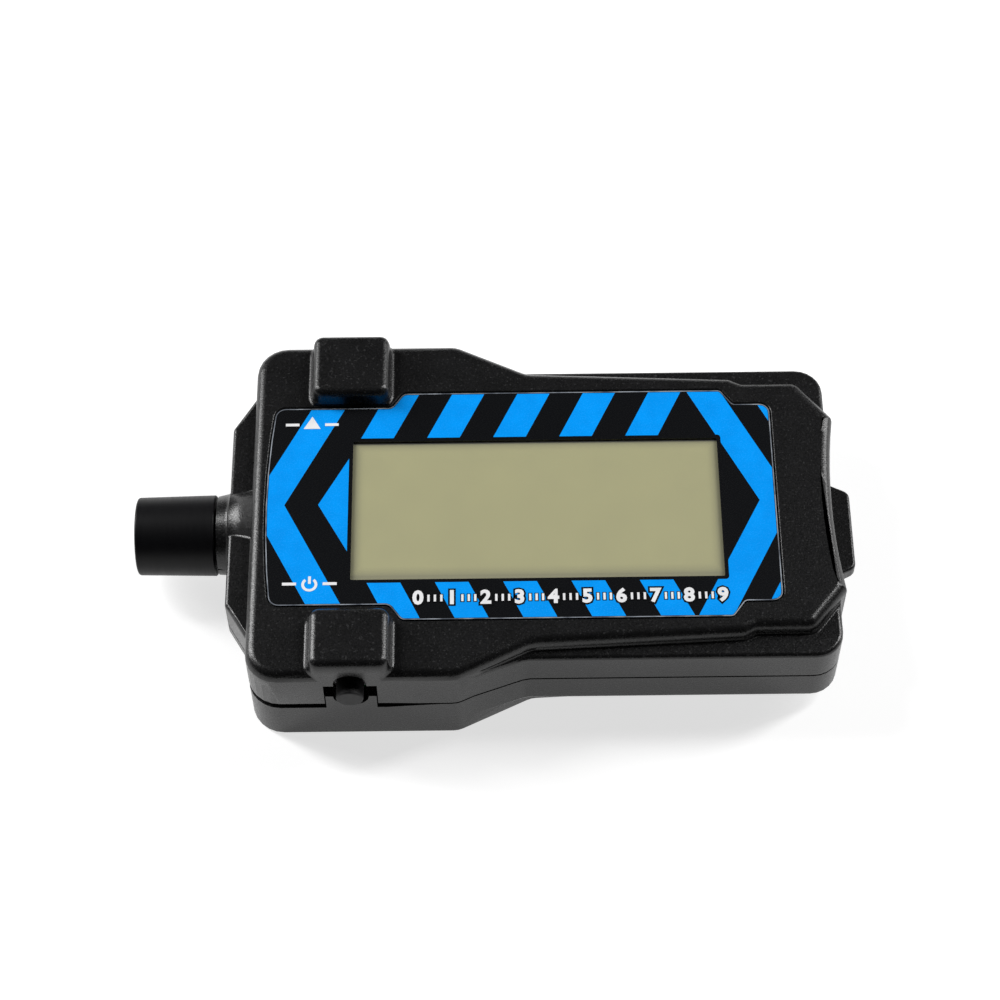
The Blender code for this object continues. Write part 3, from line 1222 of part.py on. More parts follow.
def cell_contacts():
    """A flat strip above the cell, and an angled strip at its edge."""
    low = CELL_TOP + CLOSE_GAP
    strip = box_outline(CELL_X - SPRING_REACH, CELL_X + SPRING_REACH,
                        -CONTACT_HALF_WIDTH, CONTACT_HALF_WIDTH, CONTACT_HALF_WIDTH / 2)
    finish(prism(strip, low, low + CONTACT_THICKNESS), "cell_spring", BRASS_SPRING)

    top = BOARD_BOTTOM - CLOSE_GAP
    foot = top - CONTACT_THICKNESS
    near = CELL_X + CELL_RADIUS + CLOSE_GAP
    far = near + CONTACT_THICKNESS
    angle = [(near, CELL_BOTTOM + CELL_RIM), (far, CELL_BOTTOM + CELL_RIM), (far, foot),
             (near + CLIP_FOOT, foot), (near + CLIP_FOOT, top), (near, top)]
    shape = bmesh.new()
    add_cross_prism(shape, angle, -CONTACT_HALF_WIDTH, CONTACT_HALF_WIDTH)
    finish(shape, "cell_clip", BRASS_SPRING)


def screw_mesh(name, shank, head, head_height, length):
    """A pan head screw that points up from its seat at the origin, with a cross in its head."""
    edge = head_height * HEAD_ROUND_SHARE
    shape = bmesh.new()
    add_lathe(shape, [(-head_height, 0.0), (-head_height, head - edge), (-head_height + edge, head),
                      (0.0, head), (0.0, shank), (length - shank, shank), (length, shank / 2), (length, 0.0)],
              segments=16, upright=True)
    blank = finish(shape, name)
    arm = head * SLOT_REACH_SHARE
    half = head * SLOT_WIDTH_SHARE / 2
    slot_top = -head_height * (1.0 - SLOT_DEPTH_SHARE)
    below = -head_height - PAST
    cut(blank, prism(box_outline(-arm, arm, -half, half), below, slot_top), name + " slot")
    cut(blank, prism(box_outline(-half, half, -arm, arm), below, slot_top), name + " cross slot")
    bpy.context.view_layer.update()
    graph = bpy.context.evaluated_depsgraph_get()
    mesh = bpy.data.meshes.new_from_object(blank.evaluated_get(graph))
    for change in blank.modifiers:
        bpy.data.objects.remove(change.object, do_unlink=True)
    bpy.data.objects.remove(blank, do_unlink=True)
    mesh.materials.clear()
    mesh.materials.append(STEEL)
    return mesh


def screws():
    """Four case screws driven from below, and the board's screws."""
    seat = -BOTTOM + CASE_SCREW_SINK - CLOSE_GAP
    case_mesh = screw_mesh("case screw", CASE_SCREW, CASE_SCREW_HEAD, CASE_HEAD_HEIGHT,
                           CASE_SCREW_BITE - seat)
    board_seat = BOARD_BOTTOM - CLOSE_GAP
    board_mesh = screw_mesh("board screw", BOARD_SCREW, BOARD_SCREW_HEAD, BOARD_HEAD_HEIGHT,
                            BOARD_TOP + BOARD_SCREW_BITE - board_seat)
    for prefix, mesh, places, height in (("case_screw_", case_mesh, CASE_SCREWS, seat),
                                         ("board_screw_", board_mesh, BOARD_SCREWS, board_seat)):
        for number, (x, y) in enumerate(places, start=1):
            made = bpy.data.objects.new(prefix + str(number), mesh)
            bpy.context.scene.collection.objects.link(made)
            made.parent = base
            made.location = (x, y, height)


upper_shell()
lower_shell()
battery_door()
sensor_hood()
sensor_lens()
photo_sensor()
sensor_lead("sensor_lead_rear", 1)
sensor_lead("sensor_lead_front", -1)
label_overlay()
display_window()
display()
main_board()
switch("power", -1)
switch("set", 1)
block_component("processor", PROCESSOR, CHIP_RESIN, True, 0.0)
block_component("amplifier", AMPLIFIER, CHIP_RESIN, False, 0.0)
block_component("crystal", CRYSTAL, STEEL, True, CRYSTAL_END_ROUND)
capacitor()
battery_holder()
coin_cell()
cell_contacts()
screws()
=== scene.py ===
import json
import math

import bmesh
import bpy
from mathutils import Matrix, Vector


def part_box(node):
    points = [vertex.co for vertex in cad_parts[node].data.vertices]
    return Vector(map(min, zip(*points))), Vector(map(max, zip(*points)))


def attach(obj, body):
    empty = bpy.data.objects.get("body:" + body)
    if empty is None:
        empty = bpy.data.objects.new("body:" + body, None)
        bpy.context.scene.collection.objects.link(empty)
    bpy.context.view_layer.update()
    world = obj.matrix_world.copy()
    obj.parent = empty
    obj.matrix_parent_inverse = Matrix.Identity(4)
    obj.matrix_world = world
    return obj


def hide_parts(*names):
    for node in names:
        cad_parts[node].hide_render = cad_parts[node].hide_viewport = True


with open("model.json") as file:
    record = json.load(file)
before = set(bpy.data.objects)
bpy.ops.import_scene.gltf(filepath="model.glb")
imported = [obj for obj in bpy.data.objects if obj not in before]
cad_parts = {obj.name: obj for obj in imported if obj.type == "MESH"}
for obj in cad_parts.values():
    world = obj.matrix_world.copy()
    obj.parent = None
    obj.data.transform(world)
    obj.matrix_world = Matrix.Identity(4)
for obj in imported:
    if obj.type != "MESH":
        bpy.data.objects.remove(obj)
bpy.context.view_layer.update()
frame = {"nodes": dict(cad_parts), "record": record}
bodyOf = {node: body for body, nodes in frame["record"]["behaviour"]["bodies"].items() for node in nodes}
print("frame loaded:", len(frame["nodes"]), "nodes")


# Helpers for materials

# the part of a noise that is stretched to a full range, for tones and for roughness
noiseSpan = {"tone": (0.35, 0.65), "grain": (0.3, 0.7)}
cloudShare = 0.12         # repeats of the clouds of tone against those of the grain, on the small pieces


def shaderOf(material):
    return material.node_tree.nodes["Principled BSDF"]


def newMaterial(name, colour, roughness, metallic=0.0):
    material = bpy.data.materials.new(name)
    material.use_nodes = True
    shader = shaderOf(material)
    shader.inputs["Base Color"].default_value = (*colour, 1.0)
    shader.inputs["Roughness"].default_value = roughness
    shader.inputs["Metallic"].default_value = metallic
    return material


def addNode(material, kind, **values):
    node = material.node_tree.nodes.new(kind)
    for key, value in values.items():
        setattr(node, key, value)
    return node


def link(material, out, into):
    material.node_tree.links.new(out, into)


def objectPlace(material):
    return addNode(material, "ShaderNodeTexCoord").outputs["Object"]


def splitPlace(material):
    node = addNode(material, "ShaderNodeSeparateXYZ")
    link(material, objectPlace(material), node.inputs["Vector"])
    return node.outputs


def stretched(material, scale):
    # object coordinates scaled along each axis, for grain that runs one way
    mapping = addNode(material, "ShaderNodeMapping")
    mapping.inputs["Scale"].default_value = scale
    link(material, objectPlace(material), mapping.inputs["Vector"])
    return mapping.outputs["Vector"]


def noiseOf(material, scale, detail=2.0, roughness=0.5, place=None):
    # repeats per metre, so 5000 is a grain of about 0.2 mm
    noise = addNode(material, "ShaderNodeTexNoise")
    noise.inputs["Scale"].default_value = scale
    noise.inputs["Detail"].default_value = detail
    noise.inputs["Roughness"].default_value = roughness
    link(material, place or objectPlace(material), noise.inputs["Vector"])
    return noise.outputs["Fac"]


def mapRange(material, value, low, high, toLow, toHigh):
    node = addNode(material, "ShaderNodeMapRange")
    node.inputs["From Min"].default_value = low
    node.inputs["From Max"].default_value = high
    node.inputs["To Min"].default_value = toLow
    node.inputs["To Max"].default_value = toHigh
    link(material, value, node.inputs["Value"])
    return node.outputs["Result"]


def mathOf(material, operation, first, second=0.0):
    node = addNode(material, "ShaderNodeMath", operation=operation)
    for socket, value in zip(node.inputs, (first, second)):
        if isinstance(value, (int, float)):
            socket.default_value = value
        else:
            link(material, value, socket)
    return node.outputs["Value"]


def mixColour(material, factor, first, second):
    node = addNode(material, "ShaderNodeMix", data_type="RGBA")
    link(material, factor, node.inputs["Factor"])
    for socket, value in ((node.inputs["A"], first), (node.inputs["B"], second)):
        if isinstance(value, tuple):
            socket.default_value = (*value, 1.0)
        else:
            link(material, value, socket)
    return node.outputs["Result"]


def twoTones(material, noise, first, second):
    return mixColour(material, mapRange(material, noise, *noiseSpan["tone"], 0.0, 1.0), first, second)


def setColour(material, value):
    link(material, value, shaderOf(material).inputs["Base Color"])


def setRoughness(material, value):
    link(material, value, shaderOf(material).inputs["Roughness"])


def setGrainRoughness(material, noise, roughness):
    # from the low to the high roughness along the noise
    setRoughness(material, mapRange(material, noise, *noiseSpan["grain"], *roughness))


def setGloss(material, level):
    shaderOf(material).inputs["Specular IOR Level"].default_value = level


def addBump(material, height, distance):
    bump = addNode(material, "ShaderNodeBump")
    bump.inputs["Distance"].default_value = distance
    bump.inputs["Strength"].default_value = 1.0
    link(material, height, bump.inputs["Height"])
    link(material, bump.outputs["Normal"], shaderOf(material).inputs["Normal"])


def addGrainedMaterial(name, look):
    # two close tones and a fine grain, for the small pieces
    material = newMaterial(name, look["tones"][0], look["roughness"][0])
    clouds = noiseOf(material, look["grain"] * cloudShare, detail=3.0)
    setColour(material, twoTones(material, clouds, *look["tones"]))
    grain = noiseOf(material, look["grain"], roughness=0.6)
    setGrainRoughness(material, grain, look["roughness"])
    addBump(material, grain, look["grainDepth"])
    return material


def addDrawnMetal(name, look):
    # metal with fine lines along its drawing or rolling direction
    material = newMaterial(name, look["tones"][0], look["roughness"][0], 1.0)
    along = stretched(material, look["stretch"])
    lines = noiseOf(material, look["lines"], detail=3.0, roughness=0.6, place=along)
    setColour(material, twoTones(material, lines, *look["tones"]))
    setGrainRoughness(material, lines, look["roughness"])
    addBump(material, lines, look["lineDepth"])
    return material


# Helpers for shapes

weldDistance = 1e-7
flatAngle = 0.3           # neighbouring facets that turn less become one face
levelTolerance = 1e-6     # heights that differ less are the same


def finishPiece(bm, name, material, body, smoothAngle=35.0):
    # turns a bmesh into a finished piece that rides on its body
    mesh = bpy.data.meshes.new(name)
    bm.to_mesh(mesh)
    bm.free()
    mesh.materials.append(material)
    mesh.shade_smooth()
    mesh.set_sharp_from_angle(angle=math.radians(smoothAngle))
    piece = bpy.data.objects.new(name, mesh)
    bpy.context.scene.collection.objects.link(piece)
    weighted = piece.modifiers.new("even shading", "WEIGHTED_NORMAL")
    weighted.keep_sharp = True
    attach(piece, body)
    return piece


def mouldFrom(node, name, material, smoothAngle=35.0):
    # a welded copy of a CAD node, shaded evenly, that stands for the node
    bm = bmesh.new()
    bm.from_mesh(frame["nodes"][node].data)
    bmesh.ops.remove_doubles(bm, verts=bm.verts, dist=weldDistance)
    bmesh.ops.dissolve_limit(bm, angle_limit=math.radians(flatAngle), verts=bm.verts, edges=bm.edges)
    piece = finishPiece(bm, name, material, bodyOf[node], smoothAngle)
    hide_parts(node)
    return piece


def paintNode(node, material):
    # a CAD node that keeps its shape and takes a better material
    for materialSlot in frame["nodes"][node].material_slots:
        materialSlot.material = material


def raiseFaces(bm, faces, height):
    # extrudes flat faces straight up into a solid
    grown = bmesh.ops.extrude_face_region(bm, geom=faces)
    top = [item for item in grown["geom"] if isinstance(item, bmesh.types.BMVert)]
    bmesh.ops.translate(bm, vec=(0.0, 0.0, height), verts=top)


# Camera

camera = {
    "place": (0.00059, -0.1827, 0.3085),
    "elevation": 58.0,
    "roll": -0.65,
    "lens": 95.5,
    "sensorWidth": 36.0,
    "clip": (0.01, 10.0),
}


def addCamera():
    data = bpy.data.cameras.new("camera")
    data.lens = camera["lens"]
    data.sensor_width = camera["sensorWidth"]
    data.clip_start, data.clip_end = camera["clip"]
    shot = bpy.data.objects.new("camera", data)
    bpy.context.scene.collection.objects.link(shot)
    tilt = Matrix.Rotation(math.radians(90.0 - camera["elevation"]), 4, "X")
    roll = Matrix.Rotation(math.radians(camera["roll"]), 4, "Z")
    shot.matrix_world = Matrix.Translation(camera["place"]) @ tilt @ roll
    bpy.context.scene.camera = shot


addCamera()


# Case of black grained plastic

casePlastic = {
    "colour": (0.0072, 0.0072, 0.0076),
    "cloudColour": (0.0050, 0.0050, 0.0053),
    "speckColour": (0.050, 0.050, 0.051),
    "clouds": 260.0,
    "grain": 4600.0,
    "grainDepth": 0.000026,
    "specks": 3100.0,
    "speckSpan": (0.63, 0.74),     # only the peaks of the noise become specks
    "speckStrength": 0.6,
    "roughness": (0.24, 0.38),
    "gloss": 0.42,
}


def addCasePlastic():
    look = casePlastic
    material = newMaterial("grained black plastic", look["colour"], look["roughness"][0])
    setGloss(material, look["gloss"])
    clouds = noiseOf(material, look["clouds"], detail=3.0)
    colour = twoTones(material, clouds, look["colour"], look["cloudColour"])
    specks = noiseOf(material, look["specks"], detail=1.0)
    speckMask = mapRange(material, specks, *look["speckSpan"], 0.0, look["speckStrength"])
    setColour(material, mixColour(material, speckMask, colour, look["speckColour"]))
    grain = noiseOf(material, look["grain"], roughness=0.6)
    setGrainRoughness(material, grain, look["roughness"])
    addBump(material, grain, look["grainDepth"])
    return material


casePaint = addCasePlastic()
mouldFrom("upper_shell", "case_top", casePaint)
mouldFrom("lower_shell", "case_bottom", casePaint)
mouldFrom("battery_door", "battery_cover", casePaint)
print("case done")


# Hood of satin plastic with faint turned rings

hoodPlastic = {
    "colour": (0.0034, 0.0034, 0.0041),
    "rings": 5200.0,
    "ringStretch": (1.0, 0.06, 0.06),
    "ringDepth": 0.0000012,
    "roughness": (0.40, 0.48),
    "gloss": 0.18,
}


def addHoodPlastic():
    look = hoodPlastic
    material = newMaterial("satin black plastic", look["colour"], look["roughness"][0])
    setGloss(material, look["gloss"])
    rings = noiseOf(material, look["rings"], roughness=0.6, place=stretched(material, look["ringStretch"]))
    setGrainRoughness(material, rings, look["roughness"])
    addBump(material, rings, look["ringDepth"])
    return material


mouldFrom("sensor_hood", "hood", addHoodPlastic())
print("hood done")


# Push buttons

buttonPlastic = {
    "colour": (0.011, 0.011, 0.012),
    "paleColour": (0.022, 0.022, 0.023),
    "grain": 3600.0,
    "grainDepth": 0.000016,
    "roughness": (0.48, 0.62),
    "gloss": 0.3,
}


def addButtonPlastic():
    look = buttonPlastic
    material = newMaterial("dark grey plastic", look["colour"], look["roughness"][0])
    setGloss(material, look["gloss"])
    grain = noiseOf(material, look["grain"], detail=3.0, roughness=0.6)
    setColour(material, twoTones(material, grain, look["colour"], look["paleColour"]))
    setGrainRoughness(material, grain, look["roughness"])
    addBump(material, grain, look["grainDepth"])
    return material


buttonPaint = addButtonPlastic()
mouldFrom("power_button", "power_plunger", buttonPaint)
mouldFrom("set_button", "set_plunger", buttonPaint)
print("buttons done")


# Printed label

labelPrint = {
    "black": (0.0036, 0.0040, 0.0050),
    "blue": (0.0, 0.330, 0.975),
    "deepBlue": (0.0, 0.300, 0.900),
    "inkHeight": 0.00002,     # how far below the ink's top black turns blue
    "inkEdge": 0.000004,      # half the height of that change
    "clouds": 420.0,
    "grain": 5200.0,
    "grainDepth": 0.000003,
    "roughness": (0.22, 0.30),
    "smoothAngle": 20.0,
}


def addLabelPrint():
    # black film, and blue where the bands stand up from it
    look = labelPrint
    material = newMaterial("printed label", look["black"], look["roughness"][0])
    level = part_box("label_overlay")[1].z - look["inkHeight"]
    height = splitPlace(material)["Z"]
    inked = mapRange(material, height, level - look["inkEdge"], level + look["inkEdge"], 0.0, 1.0)
    clouds = noiseOf(material, look["clouds"], detail=3.0)
    blue = twoTones(material, clouds, look["blue"], look["deepBlue"])
    setColour(material, mixColour(material, inked, look["black"], blue))
    grain = noiseOf(material, look["grain"])
    setGrainRoughness(material, grain, look["roughness"])
    addBump(material, grain, look["grainDepth"])
    return material


mouldFrom("label_overlay", "label", addLabelPrint(), labelPrint["smoothAngle"])

# the film's cut edge: pale partly as its own colour and partly as painted highlight
filmEdgeHighlight = {
    "tones": ((0.34, 0.37, 0.41), (0.09, 0.10, 0.12)),
    "grain": 4000.0,
    "grainDepth": 0.000003,
    "roughness": (0.18, 0.30),
    "width": 0.00013,
    "rise": 0.00002,          # above the label's top
    "root": 0.00003,          # and below it
}


def addFilmEdge():
    # the cut edge of the clear film, a thin pale band along the label's outline; its paleness is partly the
    # film's own edge and partly a painted highlight where the edge catches the light
    low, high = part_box("label_overlay")
    bm = bmesh.new()
    bm.from_mesh(frame["nodes"]["label_overlay"].data)
    bmesh.ops.remove_doubles(bm, verts=bm.verts, dist=weldDistance)
    above = [f for f in bm.faces if any(abs(v.co.z - low.z) >= levelTolerance for v in f.verts)]
    bmesh.ops.delete(bm, geom=above, context="FACES")
    outline = [e for e in bm.edges if e.is_boundary]
    # the outer loop is the one that reaches the box's left end
    loop = [min(outline, key=lambda e: e.verts[0].co.x + e.verts[1].co.x)]
    seen = set(loop)
    for edge in loop:
        for vert in edge.verts:
            for other in vert.link_edges:
                if other.is_boundary and other not in seen:
                    seen.add(other)
                    loop.append(other)
    bmesh.ops.delete(bm, geom=list(bm.faces), context="FACES_ONLY")
    bmesh.ops.delete(bm, geom=[e for e in bm.edges if e not in seen], context="EDGES")
    bmesh.ops.contextual_create(bm, geom=list(bm.edges))
    bmesh.ops.recalc_face_normals(bm, faces=bm.faces)
    middle = list(bm.faces)
    bmesh.ops.inset_region(bm, faces=middle, thickness=filmEdgeHighlight["width"], use_boundary=True,
                           use_even_offset=True)
    bmesh.ops.delete(bm, geom=middle, context="FACES")
    bmesh.ops.translate(bm, vec=(0.0, 0.0, high.z - filmEdgeHighlight["root"] - low.z), verts=bm.verts)
    raiseFaces(bm, list(bm.faces), filmEdgeHighlight["root"] + filmEdgeHighlight["rise"])
    bmesh.ops.recalc_face_normals(bm, faces=bm.faces)
    finishPiece(bm, "label_film_edge_highlight", addGrainedMaterial("cut film edge and painted highlight", filmEdgeHighlight), "case")


addFilmEdge()

whiteInk = {
    "tones": ((0.86, 0.86, 0.87), (0.78, 0.78, 0.79)),
    "grain": 5200.0,
    "grainDepth": 0.000003,
    "roughness": (0.34, 0.44),
}
blackInk = {
    "tones": ((0.0040, 0.0042, 0.0050), (0.0030, 0.0032, 0.0040)),
    "grain": 5200.0,
    "grainDepth": 0.000003,
    "roughness": (0.24, 0.32),
}
labelMarks = {
    "root": 0.00006,          # how far the marks reach into the label
    "edgeRise": 0.000012,     # of the black edges above the label
    "inkRise": 0.000028,      # of the white ink above it
    "numbers": 10,
    "firstNumber": (-0.0100, -0.0142),
    "pitch": 0.00432,
    "height": 0.0027,
    "bold": 0.00012,
    "edge": 0.00024,          # how far the black edge runs past a number
    "curveSteps": (3, 2),     # for the figures and their edges, at which all ten close
    "ticks": 3,
    "tick": (0.00030, 0.0010),
    "tickPitch": 0.19,        # as a share of the pitch of the numbers
    "upSign": (-0.0242, 0.0125),
    "arrowhead": 0.0013,
    "ringSign": (-0.0239, -0.0119),
    "ring": 0.00085,
    "ringDrop": 0.0001,       # of the ring's centre below the sign's
    "ringGap": 38.0,          # to each side of its open top, in degrees
    "ringSteps": 28,
    "bar": 0.0011,            # the upright bar in the ring's gap
    "barRise": 0.00055,
    "stroke": 0.00036,
    "dash": (0.0018, 0.00042),
    "dashPlace": 0.0026,
    "weld": 1e-8,             # finer than elsewhere, for the figures' small corners
    "smoothAngle": 30.0,
}


def addNumber(bm, figure, place, bold, low, high, steps):
    curve = bpy.data.curves.new("figure", "FONT")
    curve.body = figure
    curve.size = labelMarks["height"]
    curve.offset = bold
    curve.extrude = (high - low) / 2
    curve.resolution_u = steps
    curve.align_x = "CENTER"
    curve.align_y = "CENTER"
    holder = bpy.data.objects.new("figure", curve)
    bpy.context.scene.collection.objects.link(holder)
    solid = holder.evaluated_get(bpy.context.evaluated_depsgraph_get())
    mesh = bpy.data.meshes.new_from_object(solid)
    bpy.data.objects.remove(holder)
    bpy.data.curves.remove(curve)
    mesh.transform(Matrix.Translation((place[0], place[1], (low + high) / 2)))
    bm.from_mesh(mesh)
    bpy.data.meshes.remove(mesh)


def addBar(bm, centre, size, low, high):
    made = bmesh.ops.create_cube(bm, size=1.0)
    bmesh.ops.scale(bm, vec=(size[0], size[1], high - low), verts=made["verts"])
    bmesh.ops.translate(bm, vec=(centre[0], centre[1], (low + high) / 2), verts=made["verts"])


def addArrowhead(bm, centre, radius, low, high):
    place = Matrix.Translation((centre[0], centre[1], low))
    made = bmesh.ops.create_circle(bm, cap_ends=True, radius=radius, segments=3, matrix=place)
    raiseFaces(bm, [made["verts"][0].link_faces[0]], high - low)


def addOpenRing(bm, centre, radius, stroke, low, high):
    # a ring with a gap at the rear, as on a switch, swept from its cross-section
    corners = [(radius - stroke / 2, low), (radius + stroke / 2, low), (radius + stroke / 2, high),
               (radius - stroke / 2, high)]
    start = math.radians(90.0 + labelMarks["ringGap"])
    verts = [bm.verts.new((centre[0] + r * math.cos(start), centre[1] + r * math.sin(start), z))
             for r, z in corners]
    face = bm.faces.new(verts)
    geom = [face] + verts + list(face.edges)
    bmesh.ops.spin(bm, geom=geom, cent=(centre[0], centre[1], 0.0), axis=(0.0, 0.0, 1.0),
                   angle=math.radians(360.0 - 2 * labelMarks["ringGap"]), steps=labelMarks["ringSteps"],
                   use_duplicate=False)


def inkPiece(bm, name, material):
    bmesh.ops.remove_doubles(bm, verts=bm.verts, dist=labelMarks["weld"])
    bmesh.ops.recalc_face_normals(bm, faces=bm.faces)
    return finishPiece(bm, name, material, "case", labelMarks["smoothAngle"])


def addLabelMarks():
    # plain figures and ticks along the front, and a plain sign beside each button
    look = labelMarks
    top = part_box("label_overlay")[1].z
    low, edgeTop, inkTop = top - look["root"], top + look["edgeRise"], top + look["inkRise"]
    inkSteps, edgeSteps = look["curveSteps"]
    firstX, y = look["firstNumber"]
    wide, tall = look["tick"]
    whites = bmesh.new()
    edges = bmesh.new()
    for index in range(look["numbers"]):
        x = firstX + index * look["pitch"]
        addNumber(whites, str(index), (x, y), look["bold"], low, inkTop, inkSteps)
        addNumber(edges, str(index), (x, y), look["bold"] + look["edge"], low, edgeTop, edgeSteps)
        ticks = look["ticks"] if index < look["numbers"] - 1 else 0
        for tick in range(ticks):
            place = x + look["pitch"] * (0.5 + (tick - (ticks - 1) / 2) * look["tickPitch"])
            addBar(whites, (place, y), (wide, tall), low, inkTop)
            addBar(edges, (place, y), (wide + look["edge"], tall + look["edge"]), low, edgeTop)
    for centre in (look["upSign"], look["ringSign"]):
        for side in (-1, 1):
            addBar(whites, (centre[0] + side * look["dashPlace"], centre[1]), look["dash"], low, inkTop)
    addArrowhead(whites, look["upSign"], look["arrowhead"], low, inkTop)
    ringX, ringY = look["ringSign"]
    addOpenRing(whites, (ringX, ringY - look["ringDrop"]), look["ring"], look["stroke"], low, inkTop)
    addBar(whites, (ringX, ringY + look["barRise"]), (look["stroke"], look["bar"]), low, inkTop)
    inkPiece(edges, "label_figure_edges", addGrainedMaterial("black ink", blackInk))
    inkPiece(whites, "label_figures", addGrainedMaterial("white ink", whiteInk))


addLabelMarks()
print("label done")


# Display: a clear pane over the grey green glass, with painted shadow along the glass's edges

displayLook = {
    "khaki": (0.352, 0.333, 0.142),
    # the darker tone: for the clouds, and for the painted shadow along the window's edges
    "shade": (0.190, 0.178, 0.078),
    "clouds": 130.0,
    "cloudShade": 0.12,       # how much of the shade the clouds bring in
    "grain": 3800.0,
    "roughness": (0.32, 0.42),
    "edge": 0.0014,           # how far the painted shadow at the window's edges reaches inwards
    "shadowFade": 0.6,
    "shadowFrontLead": 0.0008,      # how much further in the painted shadow starts at the front, below the label's lip
    "cover": 0.0012,          # how far the label laps over the pane
    "clear": 0.00016,         # thickness of the clear layer over the display's face
    "seam": 0.00001,          # between that layer and the face
    "corner": 0.0002,
    "bevel": 0.00003,
}
paneLook = {"tint": (0.9, 0.92, 0.9), "alpha": 0.06, "haze": 900.0, "roughness": (0.05, 0.10)}
reflectorLook = {"lines": 5000.0, "stretch": (0.05, 1.0, 1.0), "roughness": (0.40, 0.55)}


def addPane():
    material = newMaterial("clear pane", paneLook["tint"], paneLook["roughness"][0])
    shaderOf(material).inputs["Alpha"].default_value = paneLook["alpha"]
    setGrainRoughness(material, noiseOf(material, paneLook["haze"]), paneLook["roughness"])
    return material


def edgeShade(material, low, high, reach):
    # 1 in the middle of a rectangle and 0 at its edges, seen from above
    place = splitPlace(material)
    sides = []
    for axis, bottom, top in (("X", low.x, high.x), ("Y", low.y, high.y)):
        sides.append(mapRange(material, place[axis], bottom, bottom + reach, 0.0, 1.0))
        sides.append(mapRange(material, place[axis], top - reach, top, 1.0, 0.0))
    first = mathOf(material, "MINIMUM", sides[0], sides[1])
    second = mathOf(material, "MINIMUM", sides[2], sides[3])
    return mathOf(material, "MINIMUM", first, second)


def addDisplayGlass():
    look = displayLook
    material = newMaterial("display glass", look["khaki"], look["roughness"][0])
    low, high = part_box("display_window")
    cover = Vector((look["cover"], look["cover"], 0.0))
    front = Vector((0.0, look["shadowFrontLead"], 0.0))
    # painted shadow: from the shade colour at the window's edges to the khaki in the middle, where the
    # label's lip and the recess's walls would shade the glass
    middle = edgeShade(material, low + cover + front, high - cover, look["edge"])
    paintedShadowMask = mathOf(material, "POWER", middle, look["shadowFade"])
    clouds = noiseOf(material, look["clouds"])
    cloudMask = mapRange(material, clouds, *noiseSpan["grain"], 0.0, look["cloudShade"])
    khaki = mixColour(material, cloudMask, look["khaki"], look["shade"])
    setColour(material, mixColour(material, paintedShadowMask, look["shade"], khaki))
    setGrainRoughness(material, noiseOf(material, look["grain"]), look["roughness"])
    return material


def addReflector():
    look = reflectorLook
    material = newMaterial("grey green reflector", displayLook["khaki"], look["roughness"][0])
    brushed = noiseOf(material, look["lines"], place=stretched(material, look["stretch"]))
    tone = mapRange(material, brushed, *noiseSpan["grain"], 0.0, 1.0)
    setColour(material, mixColour(material, tone, displayLook["khaki"], displayLook["shade"]))
    setGrainRoughness(material, brushed, look["roughness"])
    return material


def addPlate(name, material, low, high):
    # a thin plate with rounded upright corners and a fine bevel all round
    bm = bmesh.new()
    bmesh.ops.create_cube(bm, size=1.0)
    bmesh.ops.scale(bm, vec=high - low, verts=bm.verts)
    bmesh.ops.translate(bm, vec=(low + high) / 2, verts=bm.verts)
    upright = [e for e in bm.edges if abs(e.verts[0].co.z - e.verts[1].co.z) > levelTolerance]
    bmesh.ops.bevel(bm, geom=upright, offset=displayLook["corner"], offset_type="OFFSET", segments=3,
                    profile=0.5, affect="EDGES", material=-1)
    level = [e for e in bm.edges if abs(e.verts[0].co.z - e.verts[1].co.z) < levelTolerance]
    bmesh.ops.bevel(bm, geom=level, offset=displayLook["bevel"], offset_type="OFFSET", segments=2,
                    profile=0.5, affect="EDGES", material=-1)
    return finishPiece(bm, name, material, "case")


displayPaint = addDisplayGlass()
windowLow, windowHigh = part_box("display_window")
faceTop = windowHigh.z - displayLook["clear"]
paneLow = Vector((windowLow.x, windowLow.y, faceTop + displayLook["seam"]))
faceHigh = Vector((windowHigh.x, windowHigh.y, faceTop))
pane = addPlate("window_pane", addPane(), paneLow, windowHigh)
face = addPlate("display_face", displayPaint, windowLow, faceHigh)
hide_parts("display_window")
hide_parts("display_window")
paintNode("lcd_front_glass", displayPaint)
paintNode("lcd_rear_glass", displayPaint)
paintNode("lcd_reflector", addReflector())

framePlastic = {
    "tones": ((0.72, 0.72, 0.69), (0.66, 0.66, 0.63)),
    "grain": 3000.0,
    "grainDepth": 0.000006,
    "roughness": (0.45, 0.58),
}
paintNode("lcd_frame", addGrainedMaterial("white plastic", framePlastic))

stripRubber = {
    "pale": (0.60, 0.58, 0.54),
    "carbon": (0.03, 0.03, 0.03),
    "layers": 0.00018,
    "carbonSpan": (0.5, 0.56),     # where in a layer the carbon begins
    "carbonStrength": 0.9,
    "grain": 4000.0,
    "grainDepth": 0.000008,
    "roughness": (0.6, 0.75),
}


def addStripRubber():
    # thin dark layers between pale ones, as in a display's contact strip
    look = stripRubber
    material = newMaterial("layered silicone", look["pale"], look["roughness"][0])
    layer = mathOf(material, "FRACT", mathOf(material, "DIVIDE", splitPlace(material)["X"], look["layers"]))
    dark = mapRange(material, layer, *look["carbonSpan"], 0.0, look["carbonStrength"])
    setColour(material, mixColour(material, dark, look["pale"], look["carbon"]))
    grain = noiseOf(material, look["grain"])
    setGrainRoughness(material, grain, look["roughness"])
    addBump(material, grain, look["grainDepth"])
    return material


stripPaint = addStripRubber()
paintNode("contact_strip_rear", stripPaint)
paintNode("contact_strip_front", stripPaint)
print("display done")


# Sensor behind the hood's mouth

